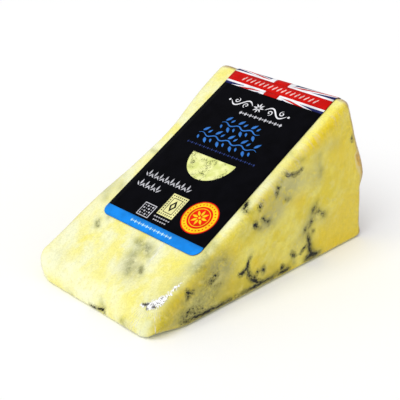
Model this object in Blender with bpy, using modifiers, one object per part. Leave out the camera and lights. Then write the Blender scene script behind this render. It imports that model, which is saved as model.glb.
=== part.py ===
"""A wedge of blue cheese, sealed in tight clear film, with a label folded over its high edge.

The wedge is a slice of a drum-shaped cheese. It lies on one of its two radial cuts, so the other
cut rises from the short cut-off tip, the nose, to the high edge, the crest, and the rind closes
the back. Lengths are in metres. The wedge is worked out in the drum's own frame, with the drum's
axis along Y at X = 0, Z = 0, and both pieces are then moved so that the origin is on the floor in
the middle of the wedge.
"""

import math

import bmesh
import bpy
import numpy as np
from mathutils import Matrix, Vector, noise

# The slice of cheese
DRUM_RADIUS = 0.1077
CUT_ANGLE = math.radians(28.84)
TIP_CUT = 0.0120
THICKNESS = 0.0540

# Rounding that the tight film gives the edges
CREST_ROUND = 0.0030
HEEL_ROUND = 0.0022
NOSE_ROUND = 0.0048
FOOT_ROUND = 0.0012
SIDE_ROUND = 0.0028
FLOOR_SIDE_ROUND = 0.0013
NEAR_CORNER_ROUND = 0.0062
FAR_CORNER_ROUND = 0.0022
FAR_TUCK_ROUND = 0.0078
TUCK_TOP = 0.0080
CORNER_FADE = 0.015
FAR_HALF_START = 0.4
FAR_HALF_END = 0.6

# Relief of the wrapped cheese
SWELL_HEIGHT = 0.0004
SWELL_SIZE = 0.016
HOLLOW_DEPTH = 0.0033
HOLLOW_MIDDLE = 0.070
HOLLOW_REACH = 0.020
NOTCH_ACROSS = 0.0213
NOTCH_WIDTH = 0.0018
NOTCH_DEPTH = 0.0011
NOTCH_HEIGHT = 0.0055
NOTCH_FULL_SHARE = 0.4
NOTCH_FADE_START = 0.002
NOTCH_FADE_END = 0.007
PLEAT_COUNT = 7
PLEAT_DEPTH = 0.00035
PLEAT_TURN = math.radians(100)
PLEAT_START = math.radians(-5)
PLEAT_END_FADE = 0.12
PLEAT_INNER_REACH = 0.0030
PLEAT_OUTER_REACH = 0.0050
PLEAT_FULL_HEIGHT = 0.0055
PLEAT_TOP = 0.0075
LUMP_LOW = 0.0185
LUMP_PEAK = 0.0235
LUMP_HIGH = 0.0400
LUMP_WIDTH = 0.0075
LUMP_HEIGHT = 0.0019
LUMP_FULL_SHARE = 0.3
LUMP_FADE_DEPTH = 0.004
LUMP_FULL_DEPTH = 0.001
FLAT_FOOT = 0.0030

# The label
LABEL_FRONT = 0.0369
LABEL_WIDTH = 0.0417
LABEL_NEAR_EDGE = 0.0039
LABEL_TAIL = 0.012
LABEL_CORNER = 0.0028
LABEL_THICKNESS = 0.0003
LABEL_GAP = 0.0004
LABEL_FADE = 0.004
LABEL_HOLD = 0.001
LABEL_SIDE_START = 0.1
LABEL_SIDE_END = 0.3

# How finely the pieces are divided
CELLS = (24, 16, 14)
CROWDING = 0.72
FINE_LEVELS = 2
NOSE_FINE_REACH = 0.0105
LUMP_FINE_REACH = 0.0130
NOTCH_FINE_REACH = 0.0065
SETTLE_STEPS = 8
LABEL_ROW_STEP = 0.006
LABEL_BEND_ROWS = 8
LABEL_CORNER_ROWS = 4
LABEL_COLUMNS = 4
PROBE = 1e-6
FLOOR_SNAP = 2e-6
SHARP_ANGLE = math.radians(50)

# Colours and roughness of the pieces
CHEESE_COLOUR = (0.86, 0.72, 0.30)
CHEESE_ROUGHNESS = 0.28
LABEL_COLOUR = (0.012, 0.012, 0.016)
LABEL_ROUGHNESS = 0.45

SIN_CUT = math.sin(CUT_ANGLE)
COS_CUT = math.cos(CUT_ANGLE)


def clear_scene():
    for thing in list(bpy.data.objects):
        bpy.data.objects.remove(thing, do_unlink=True)


def smooth_share(value, start, end):
    """0 before start, 1 after end, with a soft change between them."""
    share = np.clip((value - start) / (end - start), 0.0, 1.0)
    return share * share * (3.0 - 2.0 * share)


def soft_bump(value, middle, reach):
    """1 at the middle, fading to 0 at a distance of about twice the reach."""
    return np.exp(-(((value - middle) / reach) ** 2))


def round_corner(first, second, radius):
    """Distance to the meeting of two faces, with the corner between them rounded."""
    flat = np.minimum(np.maximum(first, second), -radius)
    return flat + np.hypot(np.maximum(first + radius, 0.0), np.maximum(second + radius, 0.0))


def mix(start, end, share):
    return start + (end - start) * share


def side_round(y, z, from_nose):
    """Radius of the edges round the two flat sides: tight on the floor, fuller at the nose."""
    plain = mix(FLOOR_SIDE_ROUND, SIDE_ROUND, smooth_share(z, 0.0, 2 * SIDE_ROUND))
    far_corner = mix(FAR_TUCK_ROUND, FAR_CORNER_ROUND, smooth_share(z, 0.0, TUCK_TOP))
    far_share = smooth_share(y, FAR_HALF_START * THICKNESS, FAR_HALF_END * THICKNESS)
    corner = mix(NEAR_CORNER_ROUND, far_corner, far_share)
    return mix(corner, plain, from_nose)


def wrap_distance(points):
    """How far each point lies outside the wrapped wedge, before its small relief."""
    x, y, z = points.T
    slope = z * COS_CUT - x * SIN_CUT
    rind = np.hypot(x, z) - DRUM_RADIUS
    crest = round_corner(slope, rind, CREST_ROUND)
    foot = round_corner(TIP_CUT - x, -z, FOOT_ROUND)
    from_nose = smooth_share(x, TIP_CUT, TIP_CUT + CORNER_FADE)
    profile = round_corner(crest, foot, mix(NOSE_ROUND, HEEL_ROUND, from_nose))

    along = x * COS_CUT + z * SIN_CUT
    upper = smooth_share(z, 0.0, x * SIN_CUT / COS_CUT + PROBE)
    hollow = HOLLOW_DEPTH * soft_bump(along, HOLLOW_MIDDLE, HOLLOW_REACH) * upper
    sides = np.maximum(-y, y - THICKNESS + hollow)
    return round_corner(profile, sides, side_round(y, z, from_nose))


def wrap_normals(points):
    """The direction straight out of the wrap at each point."""
    steps = np.eye(3) * PROBE
    slopes = [wrap_distance(points + step) - wrap_distance(points - step) for step in steps]
    normals = np.stack(slopes, axis=1)
    return normals / np.linalg.norm(normals, axis=1, keepdims=True)


def swell_relief(points):
    """The slow unevenness of a crumbly cheese under film."""
    heights = [noise.noise(Vector(point) / SWELL_SIZE) for point in points]
    return SWELL_HEIGHT * np.array(heights)


def notch_relief(points):
    """A short upright crease in the nose."""
    x, y, z = points.T
    on_nose = 1.0 - smooth_share(x, TIP_CUT + NOTCH_FADE_START, TIP_CUT + NOTCH_FADE_END)
    low = 1.0 - smooth_share(z, NOTCH_FULL_SHARE * NOTCH_HEIGHT, NOTCH_HEIGHT)
    return -NOTCH_DEPTH * soft_bump(y, NOTCH_ACROSS, NOTCH_WIDTH) * on_nose * low


def pleat_relief(points):
    """Gathers of the film, upright round the nose's near corner."""
    x, y, z = points.T
    middle_x = TIP_CUT + NEAR_CORNER_ROUND
    turn = np.arctan2(NEAR_CORNER_ROUND - y, middle_x - x)
    share = (turn - PLEAT_START) / PLEAT_TURN
    first_end = smooth_share(share, 0.0, PLEAT_END_FADE)
    last_end = 1.0 - smooth_share(share, 1.0 - PLEAT_END_FADE, 1.0)
    reach = np.hypot(middle_x - x, NEAR_CORNER_ROUND - y)
    outer = smooth_share(reach, PLEAT_INNER_REACH, PLEAT_OUTER_REACH)
    low = 1.0 - smooth_share(z, PLEAT_FULL_HEIGHT, PLEAT_TOP)
    folds = 0.5 - 0.5 * np.cos(2.0 * math.pi * PLEAT_COUNT * share)
    return -PLEAT_DEPTH * folds * first_end * last_end * outer * low


def lump_relief(points):
    """A lip of rind that stands out at the back, beside the near side."""
    x, y, z = points.T
    up_rind = np.arctan2(z, x) * DRUM_RADIUS
    rise = smooth_share(up_rind, LUMP_LOW, LUMP_PEAK)
    fall = 1.0 - smooth_share(up_rind, LUMP_PEAK, LUMP_HIGH)
    near = 1.0 - smooth_share(y, LUMP_FULL_SHARE * LUMP_WIDTH, LUMP_WIDTH)
    radius = np.hypot(x, z)
    at_back = smooth_share(radius, DRUM_RADIUS - LUMP_FADE_DEPTH, DRUM_RADIUS - LUMP_FULL_DEPTH)
    backward = np.stack([x, 0.0 * y, z], axis=1) / radius[:, None]
    return backward * (LUMP_HEIGHT * rise * fall * near * at_back)[:, None]


def label_share(points):
    """1 where the label lies, where the wrap is held flat, fading to 0 round it."""
    x, y, z = points.T
    inner = np.minimum(y - LABEL_NEAR_EDGE, LABEL_NEAR_EDGE + LABEL_WIDTH - y)
    beyond_front = x * COS_CUT + z * SIN_CUT - LABEL_FRONT
    turn = np.arctan2(z, x)
    upper = smooth_share(turn, LABEL_SIDE_START * CUT_ANGLE, LABEL_SIDE_END * CUT_ANGLE)
    return smooth_share(np.minimum(inner, beyond_front), -LABEL_FADE, -LABEL_HOLD) * upper


def add_relief(points):
    """Moves the points out or in by the relief, and leaves the floor side flat."""
    normals = wrap_normals(points)
    height = swell_relief(points) * (1.0 - label_share(points)) + notch_relief(points)
    height = (height + pleat_relief(points)) * smooth_share(points[:, 2], 0.0, FLAT_FOOT)
    points = points + normals * height[:, None] + lump_relief(points)
    points[np.abs(points[:, 2]) < FLOOR_SNAP, 2] = 0.0
    return points


def divided_cube():
    """A cube from 0 to 1 whose sides are grids, along, across and up."""
    mesh = bmesh.new()
    bmesh.ops.create_cube(mesh, size=1.0, matrix=Matrix.Translation((0.5, 0.5, 0.5)))
    for axis, cells in enumerate(CELLS):
        ends = [[vert.co[axis] for vert in edge.verts] for edge in mesh.edges]
        along = [edge for edge, (a, b) in zip(mesh.edges, ends) if abs(a - b) > 0.5]
        bmesh.ops.subdivide_edges(mesh, edges=along, cuts=cells - 1, use_grid_fill=True)
    return mesh


def crowd_to_ends(share):
    """Brings evenly spaced shares closer together near 0 and 1, where the edges are rounded."""
    return share - CROWDING * math.sin(2.0 * math.pi * share) / (2.0 * math.pi)


def bend_to_sector(mesh):
    """Turns the cube into the sharp-edged slice of the drum."""
    for vert in mesh.verts:
        along, across, up = [crowd_to_ends(share) for share in vert.co]
        angle = up * CUT_ANGLE
        inner = TIP_CUT / math.cos(angle)
        radius = inner + (DRUM_RADIUS - inner) * along
        vert.co = (radius * math.cos(angle), across * THICKNESS, radius * math.sin(angle))


def refine_round(mesh, centre, reach, upright):
    """Divides the upright or the level edges of the cells near a spot that has fine relief."""
    close = []
    for edge in mesh.edges:
        first, second = [vert.co for vert in edge.verts]
        is_upright = abs(first.z - second.z) > (first - second).length / 2
        if is_upright == upright and ((first + second) / 2 - centre).length < reach:
            close.append(edge)
    bmesh.ops.subdivide_edges(mesh, edges=close, cuts=1, use_grid_fill=True)


def settle_on_wrap(mesh):
    """Moves every point of the mesh onto the rounded wrap, and adds the relief."""
    points = np.array([vert.co for vert in mesh.verts], float)
    for _ in range(SETTLE_STEPS):
        points -= wrap_normals(points) * wrap_distance(points)[:, None]
    for vert, point in zip(mesh.verts, add_relief(points)):
        vert.co = point


def join_floor_faces(mesh):
    """Makes the whole side that lies on the floor one flat face."""
    flat = [face for face in mesh.faces if all(vert.co.z == 0.0 for vert in face.verts)]
    bmesh.ops.dissolve_faces(mesh, faces=flat)


def make_material(name, colour, roughness):
    material = bpy.data.materials.new(name)
    material.use_nodes = True
    shader = material.node_tree.nodes["Principled BSDF"]
    shader.inputs["Base Color"].default_value = (*colour, 1.0)
    shader.inputs["Roughness"].default_value = roughness
    shader.inputs["Metallic"].default_value = 0.0
    return material


def link_object(name, mesh, collection, material):
    data = bpy.data.meshes.new(name)
    mesh.to_mesh(data)
    mesh.free()
    thing = bpy.data.objects.new(name, data)
    thing.data.materials.append(material)
    collection.objects.link(thing)
    data.shade_smooth()
    data.set_sharp_from_angle(angle=SHARP_ANGLE)
    return thing


def make_wrapped_cheese(collection):
    """The sealed wedge, one solid out to the surface of its film."""
    mesh = divided_cube()
    bend_to_sector(mesh)
    nose_corner = Vector((TIP_CUT, 0.0, 0.0))
    lump_angle = LUMP_PEAK / DRUM_RADIUS
    lump = Vector((math.cos(lump_angle), 0.0, math.sin(lump_angle))) * DRUM_RADIUS
    notch = Vector((TIP_CUT, NOTCH_ACROSS, 0.0))
    for _ in range(FINE_LEVELS):
        refine_round(mesh, nose_corner, NOSE_FINE_REACH, upright=False)
        refine_round(mesh, lump, LUMP_FINE_REACH, upright=True)
        refine_round(mesh, notch, NOTCH_FINE_REACH, upright=False)
    many_sided = [face for face in mesh.faces if len(face.verts) > 4]
    bmesh.ops.triangulate(mesh, faces=many_sided)
    settle_on_wrap(mesh)
    join_floor_faces(mesh)
    cheese = make_material("cheese in clear film", CHEESE_COLOUR, CHEESE_ROUGHNESS)
    return link_object("wrapped_cheese", mesh, collection, cheese)


def label_place(travel):
    """Point and outward direction, in the plane across the label, at a distance along it."""
    height = LABEL_GAP
    centre_radius = DRUM_RADIUS - CREST_ROUND
    bend_start = math.sqrt(centre_radius**2 - CREST_ROUND**2) - LABEL_FRONT
    rind_angle = CUT_ANGLE - math.asin(CREST_ROUND / centre_radius)
    bend_turn = math.pi / 2 + CUT_ANGLE - rind_angle
    bend_radius = CREST_ROUND + height
    bend_end = bend_start + bend_turn * bend_radius
    up = Vector((-SIN_CUT, COS_CUT))
    if travel < bend_start:
        return Vector((COS_CUT, SIN_CUT)) * (LABEL_FRONT + travel) + up * height, up
    if travel < bend_end:
        turned = math.pi / 2 + CUT_ANGLE - (travel - bend_start) / bend_radius
        out = Vector((math.cos(turned), math.sin(turned)))
        centre = Vector((math.cos(rind_angle), math.sin(rind_angle))) * centre_radius
        return centre + out * bend_radius, out
    angle = rind_angle - (travel - bend_end) / (DRUM_RADIUS + height)
    out = Vector((math.cos(angle), math.sin(angle)))
    return out * (DRUM_RADIUS + height), out


def label_stations():
    """Distances along the label that get a row of points, close together where it turns."""
    crest = DRUM_RADIUS - LABEL_FRONT
    length = crest + LABEL_TAIL
    bend = [crest - 2 * CREST_ROUND, crest + 2 * CREST_ROUND]
    ends = [LABEL_CORNER * (1 - math.cos(math.pi / 2 * k / LABEL_CORNER_ROWS))
            for k in range(LABEL_CORNER_ROWS + 1)]
    stations = ends + [length - end for end in ends]
    stations += list(np.linspace(bend[0], bend[1], LABEL_BEND_ROWS + 1))
    for start, end in ((LABEL_CORNER, bend[0]), (bend[1], length - LABEL_CORNER)):
        steps = math.ceil((end - start) / LABEL_ROW_STEP)
        stations += list(np.linspace(start, end, steps + 1)[1:-1])
    return sorted(stations), length


def make_label(collection):
    """The printed label: a bent sheet with rounded corners, just clear of the film."""
    mesh = bmesh.new()
    stations, length = label_stations()
    rows = []
    for travel in stations:
        place, _ = label_place(travel)
        from_end = min(travel, length - travel, LABEL_CORNER)
        inset = LABEL_CORNER - math.sqrt(LABEL_CORNER**2 - (LABEL_CORNER - from_end) ** 2)
        near = LABEL_NEAR_EDGE + inset
        far = LABEL_NEAR_EDGE + LABEL_WIDTH - inset
        across = np.linspace(near, far, LABEL_COLUMNS + 1)
        rows.append([mesh.verts.new((place.x, y, place.y)) for y in across])
    for low, high in zip(rows, rows[1:]):
        for column in range(LABEL_COLUMNS):
            corners = (low[column], high[column], high[column + 1], low[column + 1])
            mesh.faces.new(corners)
    bmesh.ops.recalc_face_normals(mesh, faces=mesh.faces)
    middle = mesh.faces[len(mesh.faces) // 4]
    if middle.normal.z < 0:
        bmesh.ops.reverse_faces(mesh, faces=mesh.faces)
    ink = make_material("printed label", LABEL_COLOUR, LABEL_ROUGHNESS)
    label = link_object("label", mesh, collection, ink)
    thicken = label.modifiers.new("paper", "SOLIDIFY")
    thicken.thickness = LABEL_THICKNESS
    thicken.offset = 1.0
    return label


def stand_on_origin(pieces):
    """Moves the pieces so that the middle of their common floor outline is the origin."""
    bpy.context.view_layer.update()
    graph = bpy.context.evaluated_depsgraph_get()
    corners = [Vector(c) for piece in pieces for c in piece.evaluated_get(graph).bound_box]
    low = Vector([min(corner[axis] for corner in corners) for axis in range(3)])
    high = Vector([max(corner[axis] for corner in corners) for axis in range(3)])
    shift = Vector((-(low.x + high.x) / 2, -(low.y + high.y) / 2, -low.z))
    for piece in pieces:
        piece.data.transform(Matrix.Translation(shift))


def main():
    clear_scene()
    collection = bpy.data.collections.new("blue_cheese_wedge")
    bpy.context.scene.collection.children.link(collection)
    pieces = [make_wrapped_cheese(collection), make_label(collection)]
    stand_on_origin(pieces)


main()
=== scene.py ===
"""Looks of a film-wrapped wedge of blue cheese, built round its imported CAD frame.

The wedge is a slice of a drum-shaped cheese. Its shape is worked out in the drum's own frame, with
the drum's axis along Y at X = 0, Z = 0, by the same rules as the CAD model, and every finished
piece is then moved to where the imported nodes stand. Lengths are in metres. Places of marks in the
cheese and on the label are given in millimetres, and MM turns them into metres.
"""

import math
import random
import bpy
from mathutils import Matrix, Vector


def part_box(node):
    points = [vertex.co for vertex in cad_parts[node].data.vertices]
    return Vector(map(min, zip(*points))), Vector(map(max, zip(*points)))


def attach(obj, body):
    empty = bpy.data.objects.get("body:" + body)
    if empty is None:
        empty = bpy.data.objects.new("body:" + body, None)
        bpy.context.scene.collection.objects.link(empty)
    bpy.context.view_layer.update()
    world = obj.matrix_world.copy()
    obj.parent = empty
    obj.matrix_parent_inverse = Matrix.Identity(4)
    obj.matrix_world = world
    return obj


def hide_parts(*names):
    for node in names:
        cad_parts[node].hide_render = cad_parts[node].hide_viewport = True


bl_info = {
    "name": "Film-wrapped blue cheese wedge",
    "version": (1, 0, 0),
    "blender": (4, 5, 0),
    "location": "3D View > Sidebar > Cheese wedge",
    "description": "Makes a wedge of blue cheese in clear film, with its printed label",
    "category": "Object",
}

from types import SimpleNamespace

import bmesh
import bpy
import numpy as np
from bpy.props import FloatProperty, FloatVectorProperty, IntVectorProperty, PointerProperty
from mathutils import Matrix, Vector, noise

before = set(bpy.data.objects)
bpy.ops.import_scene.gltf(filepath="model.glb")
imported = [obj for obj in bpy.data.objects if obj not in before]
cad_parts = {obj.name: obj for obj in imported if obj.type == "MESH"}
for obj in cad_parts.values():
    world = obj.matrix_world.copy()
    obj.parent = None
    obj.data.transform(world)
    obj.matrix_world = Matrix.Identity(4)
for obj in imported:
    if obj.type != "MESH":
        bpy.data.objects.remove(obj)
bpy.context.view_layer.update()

MM = 0.001
BODY = "root"

# The slice of cheese
DRUM_RADIUS = 0.1077
CUT_ANGLE = math.radians(28.84)
TIP_CUT = 0.0120
THICKNESS = 0.0540

# Rounding that the tight film gives the edges
CREST_ROUND = 0.0030
HEEL_ROUND = 0.0022
NOSE_ROUND = 0.0048
FOOT_ROUND = 0.0012
SIDE_ROUND = 0.0028
FLOOR_SIDE_ROUND = 0.0013
NEAR_CORNER_ROUND = 0.0062
FAR_CORNER_ROUND = 0.0022
FAR_TUCK_ROUND = 0.0078
TUCK_TOP = 0.0080
CORNER_FADE = 0.015

# Relief of the wrapped cheese
SWELL_HEIGHT = 0.0004
SWELL_SIZE = 0.016
HOLLOW_DEPTH = 0.0033
HOLLOW_MIDDLE = 0.070
HOLLOW_REACH = 0.020
NOTCH_ACROSS = 0.0213
NOTCH_WIDTH = 0.0018
NOTCH_DEPTH = 0.0011
NOTCH_HEIGHT = 0.0055
NOTCH_REACH = (0.002, 0.007)
PLEAT_COUNT = 7
PLEAT_DEPTH = 0.00035
PLEAT_TURN = math.radians(100)
PLEAT_START = math.radians(-5)
PLEAT_MARGIN = 0.12
PLEAT_RING = (0.003, 0.005)
PLEAT_TOP = (0.0055, 0.0075)
LUMP_LOW = 0.0185
LUMP_PEAK = 0.0235
LUMP_HIGH = 0.0400
LUMP_WIDTH = 0.0075
LUMP_HEIGHT = 0.0019
LUMP_DEPTHS = (0.004, 0.001)
FLAT_FOOT = 0.0030
# Where the film's gathers at the nose's near corner lie, and how many lines of painted highlight
# they carry
GATHER_TOP = 0.0085
GATHER_REACH = 0.0035
GATHER_ACROSS = 0.0080
GATHER_COUNT = 52
GATHER_LEAN = 0.35
GATHER_FADE = 0.0012

# Cracks: each path's half width is scaled and a core is added, in millimetres, and the crack
# narrows to a share of that at its ends. The hollow of a crack and the painted shade of a crease
# in the film fade out between the two values of their edges.
CRACK_WIDTH = 0.80
CRACK_CORE = 0.14
CRACK_END = 0.35
CRACK_EDGE = (-0.2, 0.4)
CREASE_EDGE = (0.08, 0.34)

# Relief that only the looks have
CHEESE_INSET = 0.00006
CRACK_SINK = 0.0002
CRACK_BEND = 0.00045
CRACK_BEND_SIZE = 0.0012
CRUMB_SIZE = 0.0026
CRUMB_HEIGHT = 0.00007
CRINKLE_PITCH = 0.0016
CRINKLE_HEIGHT = 0.00006
CRINKLE_REACH = 0.0035
# The crinkles' strengths also set how strongly they carry painted highlights
CRINKLE_STRENGTHS = (0.04, 0.17)
CRINKLE_CHANGE = (0.05, 0.07)
FOLD_HEIGHT = 0.00035
CRUMPLE_SIZE = 0.0012
CRUMPLE_LEAST, CRUMPLE_RANGE = 0.6, 0.8
CREASE_HEIGHT = 0.00012
CREASE_WIDTH = 0.0003
SEAM_MIDDLE = 0.026
SEAM_WIDTH = 0.008
SEAM_HEIGHT = 0.00018
SEAM_CRIMP = 0.00004
SEAM_CRIMP_PITCH = 0.0013
SEAM_EDGE = 0.0004
SEAM_TOP = (0.72, 0.8)
SEAM_DEPTHS = (0.003, 0.001)
HEEL_PLEAT_HEIGHT = 0.00018
HEEL_PLEAT_WAVES = 18.0
HEEL_PLEAT_START = (0.001, 0.004)
HEEL_PLEAT_END = (0.009, 0.020)
HEEL_DEPTHS = (0.003, 0.0005)

# Where the rind's colour begins, and how far sideways a face turns as the curd's painted sheen on
# the upper cut gives way to its painted shade on the flat sides
RIND_DEPTHS = (0.0030, 0.0008)
RIND_EDGE_RAGGED = 0.0006
RIND_EDGE_SIZE = 0.004
SHEEN_TO_SHADE = (0.30, 0.85)

# Shifts that set the noises of the relief apart, and the seed of the hidden marks
CRACK_BEND_SHIFTS = (11.0, 12.0, 13.0)
CRUMB_SHIFT = 7.0
CRUMPLE_SHIFT = 5.0
RIND_SHIFT = 3.0
MARK_SEED = 29

# Finish of the cheese
CURD_STRETCH = (0.8, 1.0, 1.0)
CURD_BUMP = 0.0003
GLOW_SPREAD = (1.0, 0.9, 0.6)
GLOW_REACH = 0.0006

# The label as the CAD model has it
LABEL_FRONT = 0.0369
LABEL_WIDTH = 0.0417
LABEL_NEAR_EDGE = 0.0039
LABEL_TAIL = 0.012
LABEL_CORNER = 0.0028
LABEL_THICKNESS = 0.0003
LABEL_GAP = 0.0004
LABEL_FADE = 0.004

# The paper and ink of the label
PAPER_LOW = 0.00008
PAPER_TOP = 0.00020
PAPER_WAVE = 0.00005
PAPER_WAVE_SIZE = 0.013
INK_STEP = 0.00002
INK_GRAIN = 0.00002

# Cells of the wrapped surface along, across and up, how much they crowd at the edges, and the
# steps that settle their points on it
CELLS = (180, 100, 96)
CROWDING = 0.3
SETTLE_STEPS = 8
PROBE = 1e-6

SIN_CUT = math.sin(CUT_ANGLE)
COS_CUT = math.cos(CUT_ANGLE)
FAR_EDGE = LABEL_NEAR_EDGE + LABEL_WIDTH

# Layout of the label in millimetres: v across from the far edge, u up from the front edge
WIDE = LABEL_WIDTH / MM
LABEL_LENGTH = (DRUM_RADIUS - LABEL_FRONT + LABEL_TAIL) / MM
STRIP_TOP = 3.8
BAND_LOW, BAND_HIGH = 61.7, 74.0
BAND_LEAN = -0.022
BAR_LOW, BAR_HIGH = 63.4, 67.5
BAR_BORDER = 0.75
BORDER_LOW, BORDER_HIGH = BAR_LOW - BAR_BORDER, BAR_HIGH + BAR_BORDER
UPRIGHT = (17.4, 23.3)
UPRIGHT_BORDER = 2.1
ARM_START = 3.2
ARM_RISE = 0.16
WHITE_ARM, RED_ARM = 0.85, 0.32
BAR_LEAVES = 17
BAR_LEAF_ENDS = (5.2, 37.4)
BADGE = (32.75, 12.0)
BADGE_RADII = (6.1, 5.7, 4.15, 3.75)
BADGE_BEADS = 28
PICTURE = (20.9, 32.6, 9.06)
PANEL = (18.3, 7.5, 24.8, 16.1)
PANEL_FRAME, PANEL_LINE = 1.35, 0.22
PANEL_LOZENGE, PANEL_HEART = (1.25, 2.2), (0.55, 1.1)
PANEL_EDGE = 0.65
SQUARE = (11.8, 4.6, 16.9, 9.6)
LATTICE_LINE = 0.3
LATTICE_COUNT = 4
LATTICE_START, LATTICE_PITCH = (1.0, 0.97), (1.03, 1.02)
LATTICE_SIZES = (0.42, 0.22)
SCROLLS = (20.1, 56.1, 12.8, 4.2)

# Cells of the label's plates in millimetres, and the stretch up the label that bends
PAPER_CELL = 2.0
BEND_CELL = 0.5
LABEL_BEND = (67.8, 73.3)

# Rows of beads: both ends across, the distance up, the size of a bead and their number
STRIP_BEADS = (12.1, 29.8, 2.1, 0.62, 21)
FINE_BEADS = (6.4, 35.3, 35.4, 0.5, 33)
SCROLL_BEADS = (15.0, 32.6, 52.3, 0.75, 17)
PANEL_BEADS = ((18.3, 24.8, 6.5, 0.34, 13), (18.9, 24.2, 5.3, 0.34, 11))
TAIL_BEADS = ((5.0, WIDE - 5.0, 76.2, 0.5, 31), (8.0, WIDE - 8.0, 78.2, 0.4, 29))

# Garlands and rows of sprigs: both ends across, both heights and the number of leaves or sprigs
GARLANDS = ((12.3, 28.3, 43.9, 49.0, 6), (7.6, 32.0, 37.4, 42.6, 9))
GARLAND_STEM = 0.45
SPRIGS = ((3.1, 22.5, 17.6, 20.8, 8), (3.1, 12.8, 13.3, 16.6, 4))

# Camera, from the photograph's perspective
CAMERA_PLACE = (-0.1875, -0.1836, 0.1413)
CAMERA_HEADING = math.radians(44.85)
CAMERA_DIP = math.radians(24.94)
CAMERA_ROLL = math.radians(0.69)
CAMERA_LENS = 82.6
CAMERA_SENSOR = 36.0

# The floor, a little below the pack, and the direction from which the key light comes
FLOOR_REACH = 4.0
FLOOR_GAP = 0.0002
KEY_DIRECTION = (-0.60, -0.05, 0.80)


def drum_to_frame():
    """The move from the drum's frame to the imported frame, read from where the label stands."""
    low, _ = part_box("label")
    out = LABEL_GAP + LABEL_THICKNESS
    return Vector((low.x - LABEL_FRONT * COS_CUT + out * SIN_CUT, low.y - LABEL_NEAR_EDGE, 0.0))


def rgb(red, green, blue):
    """Scene colour from the usual 0 to 255 values."""
    shares = [value / 255.0 for value in (red, green, blue)]
    return tuple(s / 12.92 if s <= 0.04045 else ((s + 0.055) / 1.055) ** 2.4 for s in shares)


# Distance functions of the wedge

def smooth_share(value, start, end):
    """0 before start, 1 after end, with a soft change between them."""
    share = np.clip((value - start) / (end - start), 0.0, 1.0)
    return share * share * (3.0 - 2.0 * share)


def fading(value, start, end):
    """1 before start, 0 after end, with a soft change between them."""
    return 1.0 - smooth_share(value, start, end)


def soft_bump(value, middle, reach):
    """1 at the middle, fading to 0 at a distance of about twice the reach."""
    return np.exp(-(((value - middle) / reach) ** 2))


def mix(start, end, share):
    return start + (end - start) * share


def along_cut(x, z):
    """Distance from the drum's axis along the upper cut."""
    return x * COS_CUT + z * SIN_CUT


def at_rind(x, z, depths):
    """0 deeper under the rind than the first depth, 1 above the second."""
    return smooth_share(np.hypot(x, z), DRUM_RADIUS - depths[0], DRUM_RADIUS - depths[1])


def round_corner(first, second, radius):
    """Distance to the meeting of two faces, with the corner between them rounded."""
    flat = np.minimum(np.maximum(first, second), -radius)
    return flat + np.hypot(np.maximum(first + radius, 0.0), np.maximum(second + radius, 0.0))


def side_round(y, z, from_nose):
    """Radius of the edges round the two flat sides: tight on the floor, fuller at the nose."""
    plain = mix(FLOOR_SIDE_ROUND, SIDE_ROUND, smooth_share(z, 0.0, 2 * SIDE_ROUND))
    far_corner = mix(FAR_TUCK_ROUND, FAR_CORNER_ROUND, smooth_share(z, 0.0, TUCK_TOP))
    far_share = smooth_share(y, 0.4 * THICKNESS, 0.6 * THICKNESS)
    corner = mix(NEAR_CORNER_ROUND, far_corner, far_share)
    return mix(corner, plain, from_nose)


def wrap_distance(points):
    """How far each point lies outside the wrapped wedge, before its small relief."""
    x, y, z = points.T
    slope = z * COS_CUT - x * SIN_CUT
    rind = np.hypot(x, z) - DRUM_RADIUS
    crest = round_corner(slope, rind, CREST_ROUND)
    foot = round_corner(TIP_CUT - x, -z, FOOT_ROUND)
    from_nose = smooth_share(x, TIP_CUT, TIP_CUT + CORNER_FADE)
    profile = round_corner(crest, foot, mix(NOSE_ROUND, HEEL_ROUND, from_nose))
    upper = smooth_share(z, 0.0, x * SIN_CUT / COS_CUT + PROBE)
    hollow = HOLLOW_DEPTH * soft_bump(along_cut(x, z), HOLLOW_MIDDLE, HOLLOW_REACH) * upper
    sides = np.maximum(-y, y - THICKNESS + hollow)
    return round_corner(profile, sides, side_round(y, z, from_nose))


def wrap_normals(points):
    """The direction straight out of the wrap at each point."""
    steps = np.eye(3) * PROBE
    slopes = [wrap_distance(points + step) - wrap_distance(points - step) for step in steps]
    normals = np.stack(slopes, axis=1)
    return normals / np.linalg.norm(normals, axis=1, keepdims=True)


# Relief, as heights out of the wrap

def noise_heights(points, size, seed=0.0):
    """Smooth noise from about -1 to 1 at each point."""
    shift = Vector((seed, seed, seed))
    return np.array([noise.noise(Vector(point) / size + shift) for point in points])


def notch_relief(points):
    """A short upright crease in the nose."""
    x, y, z = points.T
    at_nose = fading(x - TIP_CUT, *NOTCH_REACH)
    low = fading(z, 0.4 * NOTCH_HEIGHT, NOTCH_HEIGHT)
    return -NOTCH_DEPTH * soft_bump(y, NOTCH_ACROSS, NOTCH_WIDTH) * at_nose * low


def pleat_relief(points):
    """Gathers of the film, upright round the nose's near corner."""
    x, y, z = points.T
    middle_x = TIP_CUT + NEAR_CORNER_ROUND
    turn = np.arctan2(NEAR_CORNER_ROUND - y, middle_x - x)
    share = (turn - PLEAT_START) / PLEAT_TURN
    inside = smooth_share(share, 0.0, PLEAT_MARGIN) * fading(share, 1.0 - PLEAT_MARGIN, 1.0)
    outer = smooth_share(np.hypot(middle_x - x, NEAR_CORNER_ROUND - y), *PLEAT_RING)
    folds = 0.5 - 0.5 * np.cos(2.0 * math.pi * PLEAT_COUNT * share)
    return -PLEAT_DEPTH * folds * inside * outer * fading(z, *PLEAT_TOP)


def gather_turn(points):
    """How far round the nose's near corner each point lies, in turns."""
    x, y, z = points.T
    above = GATHER_LEAN * (z - GATHER_TOP)
    side = NEAR_CORNER_ROUND - above - y
    return np.arctan2(side, TIP_CUT + NEAR_CORNER_ROUND - above - x) / (2.0 * math.pi)


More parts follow.
